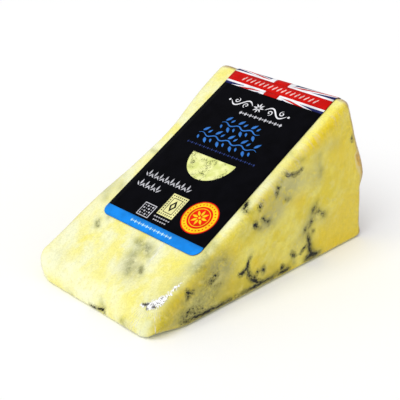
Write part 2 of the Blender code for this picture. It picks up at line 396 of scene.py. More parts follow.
def gathered_share(points):
    """1 where the film is gathered at the nose's near corner, below its crumpled fold."""
    x, y, z = points.T
    gap = np.hypot(np.maximum(x - TIP_CUT - GATHER_REACH, 0.0), np.maximum(y - GATHER_ACROSS, 0.0))
    return soft_bump(gap, 0.0, GATHER_FADE) * fading(z, 0.8 * GATHER_TOP, GATHER_TOP)


def lump_relief(points):
    """A lip of rind that stands out at the back, beside the near side."""
    x, y, z = points.T
    up_rind = np.arctan2(z, x) * DRUM_RADIUS
    rise = smooth_share(up_rind, LUMP_LOW, LUMP_PEAK) * fading(up_rind, LUMP_PEAK, LUMP_HIGH)
    near = fading(y, 0.3 * LUMP_WIDTH, LUMP_WIDTH)
    backward = np.stack([x, 0.0 * y, z], axis=1) / np.hypot(x, z)[:, None]
    return backward * (LUMP_HEIGHT * rise * near * at_rind(x, z, LUMP_DEPTHS))[:, None]


def label_share(points):
    """1 where the label lies, where the wrap is held flat, fading to 0 round it."""
    x, y, z = points.T
    inner = np.minimum(y - LABEL_NEAR_EDGE, FAR_EDGE - y)
    beyond_front = along_cut(x, z) - LABEL_FRONT
    upper = smooth_share(np.arctan2(z, x), 0.1 * CUT_ANGLE, 0.3 * CUT_ANGLE)
    return smooth_share(np.minimum(inner, beyond_front), -LABEL_FADE, -LABEL_FADE / 4) * upper


def crinkle_share(points):
    """1 along the edges between the upper cut and the flat sides, where the film is creased."""
    x, y, z = points.T
    below = x * SIN_CUT - z * COS_CUT
    to_edge = np.hypot(np.minimum(y, THICKNESS - y), below)
    strength = mix(*CRINKLE_STRENGTHS, smooth_share(along_cut(x, z), *CRINKLE_CHANGE))
    return soft_bump(to_edge, 0.0, CRINKLE_REACH) * strength


def crinkle_relief(points):
    """Fine creases of the tight film, across the edges of the upper cut."""
    x, y, z = points.T
    along = along_cut(x, z)
    wander = 0.35 * np.sin(along / (3.3 * CRINKLE_PITCH)) + 0.25 * y / CRINKLE_PITCH
    ridges = np.sin(2.0 * math.pi * (along / CRINKLE_PITCH + wander))
    return CRINKLE_HEIGHT * ridges * crinkle_share(points)


def seam_relief(points):
    """The lap seam of the film, up the middle of the rind, with its crimps."""
    x, y, z = points.T
    angle = np.arctan2(z, x)
    below_crest = fading(angle, SEAM_TOP[0] * CUT_ANGLE, SEAM_TOP[1] * CUT_ANGLE)
    lap = fading(np.abs(y - SEAM_MIDDLE), SEAM_WIDTH / 2 - SEAM_EDGE, SEAM_WIDTH / 2)
    crimps = SEAM_CRIMP * np.sin(2.0 * math.pi * angle * DRUM_RADIUS / SEAM_CRIMP_PITCH)
    return (SEAM_HEIGHT + crimps) * lap * at_rind(x, z, SEAM_DEPTHS) * below_crest


def heel_pleats(points):
    """Gathers of the film that fan out from the lower ends of the rind."""
    x, y, z = points.T
    to_side = np.minimum(y, THICKNESS - y)
    turn = np.arctan2(z, to_side + 0.001)
    reach = np.hypot(z, to_side)
    fade = smooth_share(reach, *HEEL_PLEAT_START) * fading(reach, *HEEL_PLEAT_END)
    waves = np.sin(turn * HEEL_PLEAT_WAVES)
    return HEEL_PLEAT_HEIGHT * waves * fade * at_rind(x, z, HEEL_DEPTHS)


# Places on the faces of the wedge, from millimetres

def on_near(x, z):
    return (x * MM, 0.0, z * MM)


def on_far(x, z):
    return (x * MM, THICKNESS, z * MM)


def on_slope(along, across):
    """A place on the upper cut: along it from the drum's axis, and across from the near side."""
    return (along * MM * COS_CUT, across * MM, along * MM * SIN_CUT)


def on_nose(across, z):
    return (TIP_CUT, across * MM, z * MM)


def on_floor(x, across):
    return (x * MM, across * MM, 0.0)


def on_rind(up, across):
    angle = up * MM / DRUM_RADIUS
    return (DRUM_RADIUS * math.cos(angle), across * MM, DRUM_RADIUS * math.sin(angle))


def marks(face, places):
    """Marks of one face: each is one or two measures and then its path."""
    return [(face, *place) for place in places]


# Dark cracks that mould has filled, and a few dark lines of painted shadow: half width, path
CRACKS_AND_SHADOWS = marks(on_near, [
    (0.35, (50.9, 12.4), (50.3, 11), (50.1, 9.2)),
    (0.45, (50.1, 9.2), (48.7, 9), (47.7, 8.4), (46.7, 8.5)),
    (0.45, (50.1, 9.2), (50.7, 7.4), (51.5, 5.5), (52.4, 4.5), (53.6, 3.9), (55, 2.8), (57.5, 1.8)),
    (0.3, (53.5, 5.4), (53, 4.6)),
    (0.6, (57.1, 6.8), (57.3, 5.5)),
    (0.2, (54.8, 6.7), (54.2, 5.9)),
    (0.3, (26.2, 15.5), (26.6, 14.8)),
    (0.15, (21, 13), (22.3, 12.3), (23.2, 12.1)),
    (0.22, (25.2, 11.5), (26.1, 10.7), (25.8, 9.7), (25.5, 9)),
    (0.12, (26.1, 10.7), (27.6, 10.4)),
    # The next two lines run along the foot of the near side: partly mould, partly painted contact
    # shadow where the side meets the floor
    (0.3, (49, 1.8), (62, 1.7)),
    (0.25, (27, 1.9), (34, 1.5), (43, 1.5)),
    (0.3, (25.6, 5), (26.4, 4.2)),
    (0.65, (66, 3.8), (66.9, 2.5)),
    # A line along the foot of the near side: partly mould, partly painted contact shadow
    (0.35, (64.5, 1.7), (69.5, 1.7)),
    (0.4, (70.6, 6.9), (71.4, 5.7), (72.4, 5.1)),
    (0.08, (75, 5), (76.2, 6.2), (78, 6.8)),
    (0.45, (79.2, 15.2), (79.1, 14)),
    (0.4, (78, 10.2), (78.5, 8.6), (79, 7), (79.3, 5.6), (79.9, 4.2), (80.5, 2.8)),
    (0.85, (78.4, 2), (80.6, 2.9), (83.4, 1.8)),
    (0.12, (80.7, 19), (79.8, 18.4), (79.6, 17.4)),
    (0.15, (82.3, 17.6), (82.9, 17)),
    (0.22, (84.2, 16.2), (85.2, 15.3)),
    (0.15, (76.3, 13), (76.6, 12.3)),
    (0.15, (80.2, 11.2), (80.8, 10.6)),
    (0.38, (64.8, 36.1), (65.5, 35.4), (66.1, 34.9)),
    (0.05, (66.1, 34.9), (67.4, 34), (69.2, 33.6), (71.2, 33.7), (73, 34.4)),
    (0.32, (62.2, 31.4), (63, 31.3)),
    (0.15, (61.7, 30.3), (61.7, 29.3)),
    (0.28, (53.5, 30.9), (54.6, 30.9), (55.3, 30.4), (55.6, 29.6)),
    (0.3, (54.9, 28.6), (54.6, 27.9), (54.3, 27.2)),
    (0.3, (45.9, 26.9), (46.8, 26.4), (47.5, 25.9)),
    (0.32, (47.2, 30.2), (47.8, 30.6)),
    (0.3, (48.4, 31.2), (49.1, 30.9)),
    (0.38, (48.9, 28.9), (49, 28.1)),
    (0.52, (52.4, 23.3), (52.6, 22.6), (53.1, 22)),
    (0.42, (55.7, 23.7), (56.6, 23.2)),
    (0.1, (57.2, 22.6), (58.2, 22), (58.7, 21.2)),
    (0.15, (34.4, 11.3), (35.2, 10.7)),
    (0.2, (36.1, 12.6), (36.9, 11.9)),
    (0.3, (97.3, 38.2), (97.8, 36.9)),
]) + marks(on_slope, [
    (0.02, (26.6, 16.8), (25.8, 16)),
    (0.4, (60.2, 3.6), (58.6, 2.9), (57.4, 2.6)),
    (0.35, (57.6, 1.6), (57, 1)),
]) + marks(on_nose, [
    # Painted shadow in the gap where the film stands off the floor under the nose
    (0.25, (27, 0.9), (24, 1), (21.6, 1.6), (20.6, 0.9)),
])

# Soft green-grey stains of mould, and a few broad patches of painted shade: reach, strength, path
STAINS_AND_SHADE = marks(on_near, [
    (2, 0.75, (24.5, 3.4), (29.5, 3)),
    # The next three patches run along the foot of the near side: partly mould stain, partly painted
    # contact shadow
    (1.2, 0.75, (24, 1.8), (43, 1.4)),
    (1.2, 0.75, (46, 1.6), (62, 1.8)),
    (1.6, 0.65, (64, 2.3), (68.5, 2.3)),
    (1.4, 0.55, (71, 6), (72, 3)),
    (2.4, 0.62, (77, 12.5), (79.5, 15.5), (80.2, 18.6)),
    (2.2, 0.68, (78.6, 9), (79.6, 5), (80.5, 2.5)),
    (1.7, 0.9, (78, 2), (84, 1.8)),
    (2, 0.52, (82, 17.4), (85.5, 15)),
    (1, 0.6, (66, 26.5), (67.8, 26)),
    (1.1, 0.5, (70.6, 37.8), (73, 37.4)),
    (0.9, 0.65, (61.6, 30.8), (61.8, 28.8)),
    (1, 0.45, (64, 33.4), (62.5, 31.8)),
    (1.3, 0.6, (53, 22.5), (54.6, 21)),
    (1.3, 0.5, (56, 23.6), (59, 22)),
    (1.6, 0.3, (58, 21), (61, 20)),
    (1.1, 0.65, (45.5, 29.2), (49, 30.8), (50.5, 30)),
    (1.2, 0.35, (49, 28.6), (52, 27.5)),
    (0.9, 0.65, (26.3, 15.6), (26.4, 14.6)),
    (0.9, 0.45, (25.5, 11.3), (26.2, 9.2)),
    (1, 0.55, (31.6, 21.2), (31.8, 19.8)),
    (0.9, 0.35, (33, 19.6), (33.6, 19)),
    (0.9, 0.45, (30.8, 17.4), (32, 16.8)),
    (1.2, 0.5, (34.5, 11), (37, 12.6)),
    (1, 0.35, (36.5, 9.2), (39.5, 9)),
    (1.5, 0.25, (39.5, 16), (41.5, 13)),
    (1.6, 0.22, (47.2, 21.5), (49, 20.5)),
    (1.1, 0.4, (82.6, 31.6), (83.2, 30.6)),
    (1, 0.28, (81.2, 37), (81.3, 33.5), (82.3, 29)),
    (0.8, 0.35, (81.3, 20.6), (82, 21.2)),
    (1.3, 0.55, (57, 6.4), (57.3, 5.4)),
    (0.8, 0.4, (50.4, 12.6), (51.6, 13.8)),
    # The next three broad patches darken the near side behind the nose and towards the floor:
    # painted shade
    (7.5, 0.42, (18, 6), (34, 8)),
    (3.6, 0.36, (33, 13), (39, 16.5)),
    (4.5, 0.3, (30, 3), (60, 4)),
    (4.5, 0.24, (52, 24), (66, 30)),
    (1.2, 0.45, (47.5, 8.2), (50, 9), (51.3, 6.2), (53.4, 4)),
]) + marks(on_slope, [
    (0.55, 0.45, (34.4, 17.2), (32.4, 17.2)),
    (0.45, 0.4, (31, 17.2), (29.4, 16.6)),
    (0.7, 0.4, (27.4, 17.2), (26.3, 16.4), (25.4, 15.8)),
    (0.6, 0.4, (25.2, 20), (23, 19.6)),
    (0.7, 0.7, (33.9, 44.1), (33.2, 43.6), (32.3, 42.6)),
    (2.2, 0.62, (33.6, 25), (33.2, 20.5)),
    (1.3, 0.4, (32.4, 19.8), (31, 18.6)),
    (2.3, 0.54, (29.5, 23), (27, 21.5), (24.4, 20.6)),
    (1.4, 0.36, (26.2, 17.5), (24.8, 15.6)),
    (1.3, 0.55, (34, 44.2), (32.4, 43)),
    (0.9, 0.4, (36.5, 42), (35.8, 41)),
    (2.5, 0.14, (18, 46), (16, 44)),
    (1.5, 0.62, (60.5, 4.2), (57.5, 2.4)),
    (1.2, 0.34, (81.5, 5), (80.8, 2.5)),
    (2, 0.46, (43, 2.6), (39, 2.2), (34, 1.6)),
    (1.4, 0.4, (48.6, 47.5), (47, 47)),
    (1.9, 0.42, (44.5, 51), (42, 49)),
    (2, 0.26, (51.5, 50), (46.5, 50.5)),
    (1, 0.42, (64.6, 49), (64.2, 46.4)),
]) + marks(on_nose, [
    # Partly mould, partly painted shade in the crease of the nose's notch
    (1.1, 0.5, (22.7, 5.8), (22.4, 3.2)),
    (1.1, 0.5, (12.2, 2.2), (11.4, 0.6)),
    # Painted shade along a fold of the film down the nose
    (0.5, 0.35, (7, 9.2), (9.2, 6.6), (11.7, 4), (13.2, 1.8)),
    (0.9, 0.35, (37, 1.4), (35.4, 1)),
])

# Pale lilac-grey haze: reach, strength, path
HAZES = marks(on_near, [
    (3, 0.8, (57, 21.5), (63, 23.5)),
    (4, 0.5, (64, 31.5), (79, 30)),
    (3, 0.45, (66, 28), (70, 30)),
    (3, 0.65, (36, 15.5), (42, 12.5)),
    (3, 0.35, (30, 6), (38, 8)),
    (2.2, 0.55, (20, 3.2), (34, 2.8)),
    (2.2, 0.35, (84, 38.5), (89, 38.5)),
    (2.6, 0.42, (80, 36), (82, 28)),
    (2.5, 0.25, (83, 14), (88, 12)),
    (5, 0.42, (26, 7), (40, 12)),
    (4.5, 0.45, (59, 25), (70, 31)),
    (3.2, 0.52, (73, 9), (79, 16)),
]) + marks(on_slope, [
    (3.5, 0.6, (27, 22), (24, 18)),
    (2, 0.35, (33, 20.5), (31, 19)),
    (2.4, 0.4, (34, 3), (27, 3)),
])

# Ochre patches, and on the nose a line of painted shade: reach, strength, path
WARM_PATCHES_AND_SHADE = marks(on_near, [
    (3.2, 0.9, (21.5, 8.5), (24, 11)),
    (1.3, 0.7, (20.5, 13.8), (22.5, 12.6)),
    (3, 0.3, (29, 14), (34, 17)),
    (3.2, 0.35, (40, 19.5), (44, 18)),
    (3, 0.55, (43, 6), (44, 4)),
    (2.2, 0.6, (54, 9.5), (55, 8)),
    (3, 0.45, (61, 3.5), (63, 3.5)),
    (2.5, 0.25, (64, 7), (62, 10)),
    (2.2, 0.95, (78, 41), (83, 42.8), (88, 45.6)),
    (2.6, 0.55, (72, 24.4), (74, 24.6)),
    (4.2, 0.9, (92, 2.5), (103, 2.5)),
    (4, 0.5, (100, 8), (103.5, 8)),
    (2.2, 0.4, (92, 48), (96, 43)),
    (2, 0.5, (97, 40), (104, 22)),
    (1.8, 0.35, (56, 29), (61, 34)),
    (7, 0.6, (88, 41), (97, 30)),
    (7.5, 0.75, (88, 7), (103, 15)),
]) + marks(on_slope, [
    (1.6, 0.5, (27.2, 43.6), (27.4, 43.2)),
    (3.2, 0.34, (20, 13.5), (17, 12)),
    (3.6, 0.6, (32, 8), (24, 5)),
    (3, 0.25, (96, 50), (104, 48)),
    (3, 0.5, (98, 2), (103, 1)),
    (2.2, 0.6, (78, 1.6), (101, 1.6)),
]) + marks(on_nose, [
    # Painted shade along a fold of the film down the nose, in deeper yellow
    (0.8, 0.75, (6.5, 9.6), (9, 6.6), (11.5, 4), (13.2, 1.8)),
])

# Whiter curd, and in three places painted light: reach, strength, path
WHITER_CURD_AND_SHEEN = marks(on_slope, [
    # Painted sheen of the film along the rounded far edge of the upper cut
    (4.5, 0.55, (14, 50.5), (36, 51), (62, 50.5)),
    (3.5, 0.45, (18, 44), (15, 34), (14, 26)),
    (3, 0.5, (27, 20), (23, 24)),
    (2.2, 0.45, (14, 14), (13.5, 18)),
    (2, 0.35, (34, 17), (28, 13.5)),
]) + marks(on_nose, [
    # Painted light from the white floor on the lower far part of the nose
    (3, 0.45, (50, 7), (36, 4), (28, 3.5)),
    (2.2, 0.4, (18, 6), (15, 3)),
]) + marks(on_near, [
    # Painted highlight along the rounded edge between the near side and the upper cut
    (1.4, 0.5, (54, 29.5), (74, 40.5)),
    (1.8, 0.35, (66, 32), (72, 30)),
    (1.5, 0.4, (33, 5), (28, 6.5)),
])

# The lip of rind that shows beside the near side
LIP = marks(on_near, [
    (1.9, 1, (101.8, 31), (103.4, 26.8), (105.2, 22.4)),
])

# The crumpled fold of film at the nose's near corner, and a straight crease, on the upper cut. Both
# are raised, and both carry painted highlights.
FOLDS = marks(on_slope, [
    (0.8, 0.85, (17.3, 8), (17.6, 6.8), (18.2, 5.6)),
    (1.4, 1, (18.6, 5.2), (19.8, 4.2), (21.4, 3.4)),
    (0.9, 0.78, (21.4, 3.4), (23.6, 2.8), (26.4, 2.3)),
    (0.5, 0.55, (26, 2.6), (28.6, 2)),
    (0.6, 0.65, (17.4, 5.2), (18.6, 3.2), (20.6, 2)),
])
# Painted shade in the sharpest creases of the fold: half width, path
CREASE_SHADES = marks(on_slope, [
    (0.06, (17.6, 7.6), (17.9, 6.6), (18.6, 6)),
    (0.08, (16.8, 5.8), (17.2, 5.2)),
    (0.12, (18, 4.2), (18.6, 3.9), (18.4, 3.4)),
    (0.1, (19.4, 3), (20.4, 2.8), (20.7, 2.4), (20.3, 2)),
])
STRAIGHT_CREASE = (on_slope, ((36.3, 16.9), (32, 16.2), (28, 15.8)))

# How many marks each hidden face gets, and between which places along it they start
HIDDEN_FACES = ((on_far, 34, 24, 101), (on_floor, 30, 20, 102))
MARK_SPREAD = (0.06, 0.94)
RIND_HOLES = 9
RIND_CRACKS = 7

# Ranges of the hidden marks: lengths, reaches and half widths are in millimetres
HIDDEN_CRACK_LENGTHS, HIDDEN_CRACK_STEP = (1.0, 10.0), 1.1
HIDDEN_CRACK_WIDTHS = (0.02, 0.32)
BRANCH_COUNTS = (0, 2)
BRANCH_LENGTHS, BRANCH_STEP = (1.5, 4.5), 0.9
BRANCH_WIDTHS = (0.0, 0.15)
STAIN_REACHES, STAIN_STRENGTHS = (0.8, 2.4), (0.15, 0.5)
PATCH_REACHES, PATCH_STRENGTHS = (2.0, 3.6), (0.25, 0.6)
PATCH_LENGTH, PATCH_STEP = 5.0, 2.0
RIND_CRACK_LENGTHS, RIND_CRACK_STEP = (4.0, 10.0), 1.6
RIND_CRACK_WIDTHS = (0.05, 0.2)
RIND_HOLE_LENGTH, RIND_HOLE_WIDTHS = 0.3, (0.3, 0.5)
MOST_TURN = 0.8


def path_gaps(points, face, path):
    """For each stretch of a path: every point's distance to it, and how far along the path."""
    places = np.array([face(*place) for place in path])
    for index, (start, end) in enumerate(zip(places, places[1:])):
        run = end - start
        share = np.clip((points - start) @ run / (run @ run), 0.0, 1.0)
        gap = np.linalg.norm(points - start - share[:, None] * run, axis=1)
        yield gap / MM, (index + share) / (len(places) - 1)


def path_distance(points, face, path):
    """Distance from each point to a path on a face, in millimetres."""
    return np.min([gap for gap, _ in path_gaps(points, face, path)], axis=0)


def crack_depth(points, cracks, limit=4.0):
    """Millimetres from the edge of the nearest crack, negative inside it. Cracks taper."""
    nearest = np.full(len(points), limit)
    for face, half_width, *path in cracks:
        widest = CRACK_WIDTH * half_width + CRACK_CORE
        for gap, along in path_gaps(points, face, path):
            edge = widest * (CRACK_END + (1.0 - CRACK_END) * np.sin(math.pi * along))
            nearest = np.minimum(nearest, gap - edge)
    return nearest


def patch_share(points, patches):
    """How strongly soft patches cover each point, from 0 to 1."""
    clear = np.ones(len(points))
    for face, reach, strength, *path in patches:
        clear *= 1.0 - strength * soft_bump(path_distance(points, face, path), 0.0, reach)
    return 1.0 - clear


def wandering_path(draw, start, length, step):
    """A crooked path in millimetres, which turns a little at every step."""
    heading = draw.uniform(0.0, 2.0 * math.pi)
    path = [start]
    for _ in range(max(1, round(length / step))):
        heading += draw.uniform(-MOST_TURN, MOST_TURN)
        first, second = path[-1]
        path.append((first + step * math.cos(heading), second + step * math.sin(heading)))
    return path


def hidden_marks(draw):
    """Cracks, stains, haze and warm patches for the faces that the photograph doesn't show."""
    cracks, stains, hazes, warm = [], [], [], []
    starts = [(face, draw.uniform(low, high), draw.uniform(*MARK_SPREAD))
              for face, count, low, high in HIDDEN_FACES for _ in range(count)]
    for face, x, share in starts:
        top = x * SIN_CUT / COS_CUT if face is on_far else THICKNESS / MM
        start = (x, share * top)
        path = wandering_path(draw, start, draw.uniform(*HIDDEN_CRACK_LENGTHS), HIDDEN_CRACK_STEP)
        cracks.append((face, draw.uniform(*HIDDEN_CRACK_WIDTHS), *path))
        stains.append((face, draw.uniform(*STAIN_REACHES), draw.uniform(*STAIN_STRENGTHS), *path))
        for _ in range(draw.randint(*BRANCH_COUNTS)):
            root = draw.choice(path)
            branch = wandering_path(draw, root, draw.uniform(*BRANCH_LENGTHS), BRANCH_STEP)
            cracks.append((face, draw.uniform(*BRANCH_WIDTHS), *branch))
        beside = (start[0] + draw.uniform(-6, 6), start[1] + draw.uniform(-5, 5))
        patch = wandering_path(draw, beside, PATCH_LENGTH, PATCH_STEP)
        kind = hazes if draw.random() < 0.5 else warm
        kind.append((face, draw.uniform(*PATCH_REACHES), draw.uniform(*PATCH_STRENGTHS), *patch))
    for _ in range(RIND_HOLES):
        up, across = draw.uniform(6, 48), draw.uniform(5, 49)
        hole = ((up, across), (up + RIND_HOLE_LENGTH, across))
        cracks.append((on_rind, draw.uniform(*RIND_HOLE_WIDTHS), *hole))
        stains.append((on_rind, 1.2, 0.5, *hole))
    for _ in range(RIND_CRACKS):
        start = (draw.uniform(8, 46), draw.uniform(8, 46))
        path = wandering_path(draw, start, draw.uniform(*RIND_CRACK_LENGTHS), RIND_CRACK_STEP)
        cracks.append((on_rind, draw.uniform(*RIND_CRACK_WIDTHS), *path))
    return cracks, stains, hazes, warm


# Meshes

def divided_cube(cells):
    """A cube from 0 to 1 whose sides are grids, along, across and up."""
    mesh = bmesh.new()
    bmesh.ops.create_cube(mesh, size=1.0, matrix=Matrix.Translation((0.5, 0.5, 0.5)))
    for axis, count in enumerate(cells):
        ends = [[vert.co[axis] for vert in edge.verts] for edge in mesh.edges]
        along = [edge for edge, (a, b) in zip(mesh.edges, ends) if abs(a - b) > 0.5]
        bmesh.ops.subdivide_edges(mesh, edges=along, cuts=count - 1, use_grid_fill=True)
    return mesh


def sector_points(mesh):
    """The cube's points, moved to the sharp-edged slice of the drum."""
    shares = np.array([vert.co for vert in mesh.verts], float)
    crowded = shares - CROWDING * np.sin(2.0 * math.pi * shares) / (2.0 * math.pi)
    along, across, up = crowded.T
    angle = up * CUT_ANGLE
    inner = TIP_CUT / np.cos(angle)
    radius = inner + (DRUM_RADIUS - inner) * along
    return np.stack([radius * np.cos(angle), across * THICKNESS, radius * np.sin(angle)], axis=1)


def settled(points, inset):
    """The points moved onto the rounded wrap, or to a depth inside it."""
    for _ in range(SETTLE_STEPS):
        points = points - wrap_normals(points) * (wrap_distance(points) + inset)[:, None]
    return points


def add_object(name, data):
    """A new object in the scene."""
    thing = bpy.data.objects.new(name, data)
    bpy.context.scene.collection.objects.link(thing)
    return thing


def place_piece(name, mesh, material):
    """Makes an object of a mesh in the drum's frame, and lets it ride on the pack."""
    data = bpy.data.meshes.new(name)
    mesh.to_mesh(data)
    mesh.free()
    data.transform(Matrix.Translation(drum_to_frame()))
    data.materials.append(material)
    piece = add_object(name, data)
    data.shade_smooth()
    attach(piece, BODY)
    return piece


def raise_surface(mesh, points, height):
    """Moves the mesh to the points, raised by their heights, with the foot left flat."""
    height = height * smooth_share(points[:, 2], 0.0, FLAT_FOOT)
    moved = points + wrap_normals(points) * height[:, None] + lump_relief(points)
    moved[:, 2] = np.maximum(moved[:, 2], 0.0)
    for vert, point in zip(mesh.verts, moved):
        vert.co = point


def store(piece, name, values):
    """Keeps one number for each point, for the material to read."""
    layer = piece.data.attributes.new(name, "FLOAT", "POINT")
    layer.data.foreach_set("value", values.astype(np.float32))


# Materials

class Paint:
    """Builds the nodes of one material. Its X runs along the upper cut of the wedge."""

    def __init__(self, name, roughness, specular=0.5):
        self.material = bpy.data.materials.new(name)
        self.material.use_nodes = True
        self.tree = self.material.node_tree
        self.shader = self.tree.nodes["Principled BSDF"]
        self.shader.inputs["Roughness"].default_value = roughness
        self.shader.inputs["Specular IOR Level"].default_value = specular
        turn = self.node("ShaderNodeVectorRotate",
                         self.tree.nodes.new("ShaderNodeTexCoord").outputs["Object"])
        turn.rotation_type = "Y_AXIS"
        turn.inputs["Angle"].default_value = CUT_ANGLE
        self.place = turn.outputs[0]

    def node(self, kind, *values):
        """A new node, with a value or another node's output for each of its first inputs."""
        node = self.tree.nodes.new(kind)
        for socket, value in zip(node.inputs, values):
            self.feed(socket, value)
        return node

    def feed(self, socket, value):
        if isinstance(value, bpy.types.NodeSocket):
            self.tree.links.new(value, socket)
        elif value is not None:
            socket.default_value = value

    def noise(self, size, detail=3.0, twist=0.0, stretch=(1.0, 1.0, 1.0)):
        """Noise from 0 to 1 whose lumps are about the given size."""
        scaled = self.node("ShaderNodeVectorMath", self.place, stretch)
        scaled.operation = "MULTIPLY"
        cloud = self.node("ShaderNodeTexNoise", scaled.outputs[0])
        cloud.inputs["Scale"].default_value = 1.0 / size
        cloud.inputs["Detail"].default_value = detail
        cloud.inputs["Distortion"].default_value = twist
        return cloud.outputs["Fac"]

    def stored(self, name):
        node = self.node("ShaderNodeAttribute")
        node.attribute_name = name
        return node.outputs["Fac"]

    def math(self, operation, first, second=0.0):
        node = self.node("ShaderNodeMath", first, second)
        node.operation = operation
        return node.outputs[0]

    def product(self, first, second):
        return self.math("MULTIPLY", first, second)

    def largest(self, first, second):
        return self.math("MAXIMUM", first, second)

    def add_scaled(self, value, factor, addend):
        """The value times a factor, plus an addend."""
        node = self.node("ShaderNodeMath", value, factor, addend)
        node.operation = "MULTIPLY_ADD"
        return node.outputs[0]

    def scale(self, colour, factor):
        """A colour made darker or lighter by a factor."""
        node = self.node("ShaderNodeVectorMath", colour)
        node.operation = "SCALE"
        self.feed(node.inputs["Scale"], factor)
        return node.outputs[0]

    def share(self, value, start, end):
        """0 where the value is at start or beyond, 1 at end, softly between them."""
        node = self.node("ShaderNodeMapRange", value, start, end)
        node.interpolation_type = "SMOOTHSTEP"
        return node.outputs[0]

    def mix(self, share, first, second):
        """A colour between two colours."""
        node = self.tree.nodes.new("ShaderNodeMix")
        node.data_type = "RGBA"
        self.feed(node.inputs[0], share)
        for socket, value in ((node.inputs[6], first), (node.inputs[7], second)):
            is_colour = not isinstance(value, bpy.types.NodeSocket)
            self.feed(socket, (*value[:3], 1.0) if is_colour else value)
        return node.outputs[2]

    def blend(self, share, first, second):
        """A shader between the shaders of two nodes."""
        node = self.node("ShaderNodeMixShader", share)
        self.feed(node.inputs[1], first.outputs[0])
        self.feed(node.inputs[2], second.outputs[0])
        return node

    def bump(self, height, distance, strength=1.0):
        node = self.node("ShaderNodeBump")
        node.inputs["Strength"].default_value = strength
        node.inputs["Distance"].default_value = distance
        self.feed(node.inputs["Height"], height)
        return node.outputs["Normal"]

    def finish(self, colour, roughness=None, normal=None):
        self.feed(self.shader.inputs["Base Color"], colour)
        self.feed(self.shader.inputs["Roughness"], roughness)
        self.feed(self.shader.inputs["Normal"], normal)
        return self.material


def cheese_clouds(paint):
    """The noises of the cheese, from broad blotches to fine grain, and the lines between veins."""
    clouds = SimpleNamespace(
        blotch=paint.noise(6 * MM, detail=4.0, twist=0.3, stretch=CURD_STRETCH),
        patch=paint.noise(2.6 * MM, detail=5.0, twist=0.4, stretch=CURD_STRETCH),
        crumb=paint.noise(1.2 * MM, detail=5.0, twist=0.3),
        fleck=paint.noise(0.55 * MM, detail=4.0, twist=0.8),
        grain=paint.noise(0.45 * MM, detail=3.0))
    veins = paint.noise(1.9 * MM, detail=4.0, twist=1.4)
    clouds.ridge = paint.math("ABSOLUTE", paint.math("SUBTRACT", veins, 0.5))
    return clouds


def curd_tone(paint, looks, clouds, pale):
    """Clean curd: light and deep yellow, whiter flecks, gold patches and a grey haze. The yellows,
    flecks and patches are painted paler on the upper cut and the nose, as the film's sheen, and
    deeper on the flat sides, as shade.
    """
    # pale is 1 on the upper cut and the nose, for the painted-sheen copy of each colour, and 0 on
    # the flat sides, for the painted-shade copy
    light = paint.mix(pale, looks.shaded_curd_colour, looks.sheen_curd_colour)
    deep = paint.mix(pale, looks.shaded_butter_colour, looks.sheen_butter_colour)
    curd = paint.mix(paint.share(clouds.blotch, 0.36, 0.64), light, deep)
    curd = paint.mix(paint.product(paint.share(clouds.patch, 0.50, 0.72), 0.6), curd, deep)
    white = paint.product(paint.share(clouds.patch, 0.48, 0.30), 0.4)
    # bloom: whiter curd, and in three places painted sheen and highlight
    bloom = paint.product(paint.stored("bloom"), paint.share(clouds.crumb, 0.15, 0.5))
    whiter = paint.mix(pale, looks.shaded_white_curd_colour, looks.sheen_white_curd_colour)
    curd = paint.mix(paint.largest(white, bloom), curd, whiter)
    # warm: ochre patches, and painted shade along a fold of the film on the nose
    warm = paint.product(paint.stored("warm"), paint.share(clouds.patch, 0.0, 0.45))
    curd = paint.mix(warm, curd, paint.mix(pale, looks.shaded_gold_colour, looks.sheen_gold_colour))
    haze = paint.product(paint.stored("haze"), paint.share(clouds.crumb, 0.25, 0.55))
    curd = paint.mix(haze, curd, looks.haze_colour)
    curd = paint.scale(curd, paint.add_scaled(clouds.grain, 0.40, 0.80))
    return paint.scale(curd, paint.add_scaled(clouds.crumb, 0.26, 0.87))


def mouldy_tone(paint, looks, clouds, pale, curd):
    """The curd with stains, and with flecks and fine branches of mould in and beside them."""
    # stain: the mould stains, and painted shade where the broad patches lie
    stain_and_shade = paint.stored("stain_and_shade")
    uneven = paint.add_scaled(clouds.patch, 0.6, paint.product(clouds.crumb, 0.4))
    patchy = paint.product(stain_and_shade, paint.share(uneven, 0.22, 0.62))
    # Stains too are painted paler on the upper cut and the nose, as sheen, and deeper on the flat
    # sides, as shade
    grey = paint.mix(pale, looks.stain_and_shade_colour, looks.sheen_stain_and_shade_colour)
    curd = paint.mix(patchy, curd, grey)
    beside = paint.share(paint.stored("crack"), 2.0, 0.0)
    mouldy = paint.largest(stain_and_shade, paint.product(beside, 0.85))
    mouldy = paint.largest(mouldy, paint.product(paint.stored("haze"), 0.5))
    over = paint.math("SUBTRACT", clouds.fleck, paint.add_scaled(mouldy, -0.26, 0.77))
    flecks = paint.product(paint.share(over, 0.0, 0.05), paint.share(mouldy, 0.35, 0.7))
    thin = paint.share(clouds.ridge, 0.035, 0.004)
    branches = paint.product(thin, paint.share(mouldy, 0.3, 0.75))
    flecks = paint.largest(flecks, paint.product(branches, 0.75))
    # Fewer dark flecks where the painted sheen of the film lies, on the upper cut and the nose
    flecks = paint.product(flecks, paint.add_scaled(pale, -0.45, 1.0))
    return paint.mix(flecks, curd, looks.mould_and_shadow_colour)


def ragged_depth(paint, clouds):
    """Millimetres from the edge of the nearest crack, with a ragged edge."""
    depth = paint.math("ADD", paint.stored("crack"), paint.add_scaled(clouds.fleck, 1.7, -0.80))
    depth = paint.math("ADD", depth, paint.add_scaled(clouds.patch, 0.9, -0.45))
    return paint.math("ADD", depth, paint.add_scaled(clouds.grain, 0.9, -0.45))


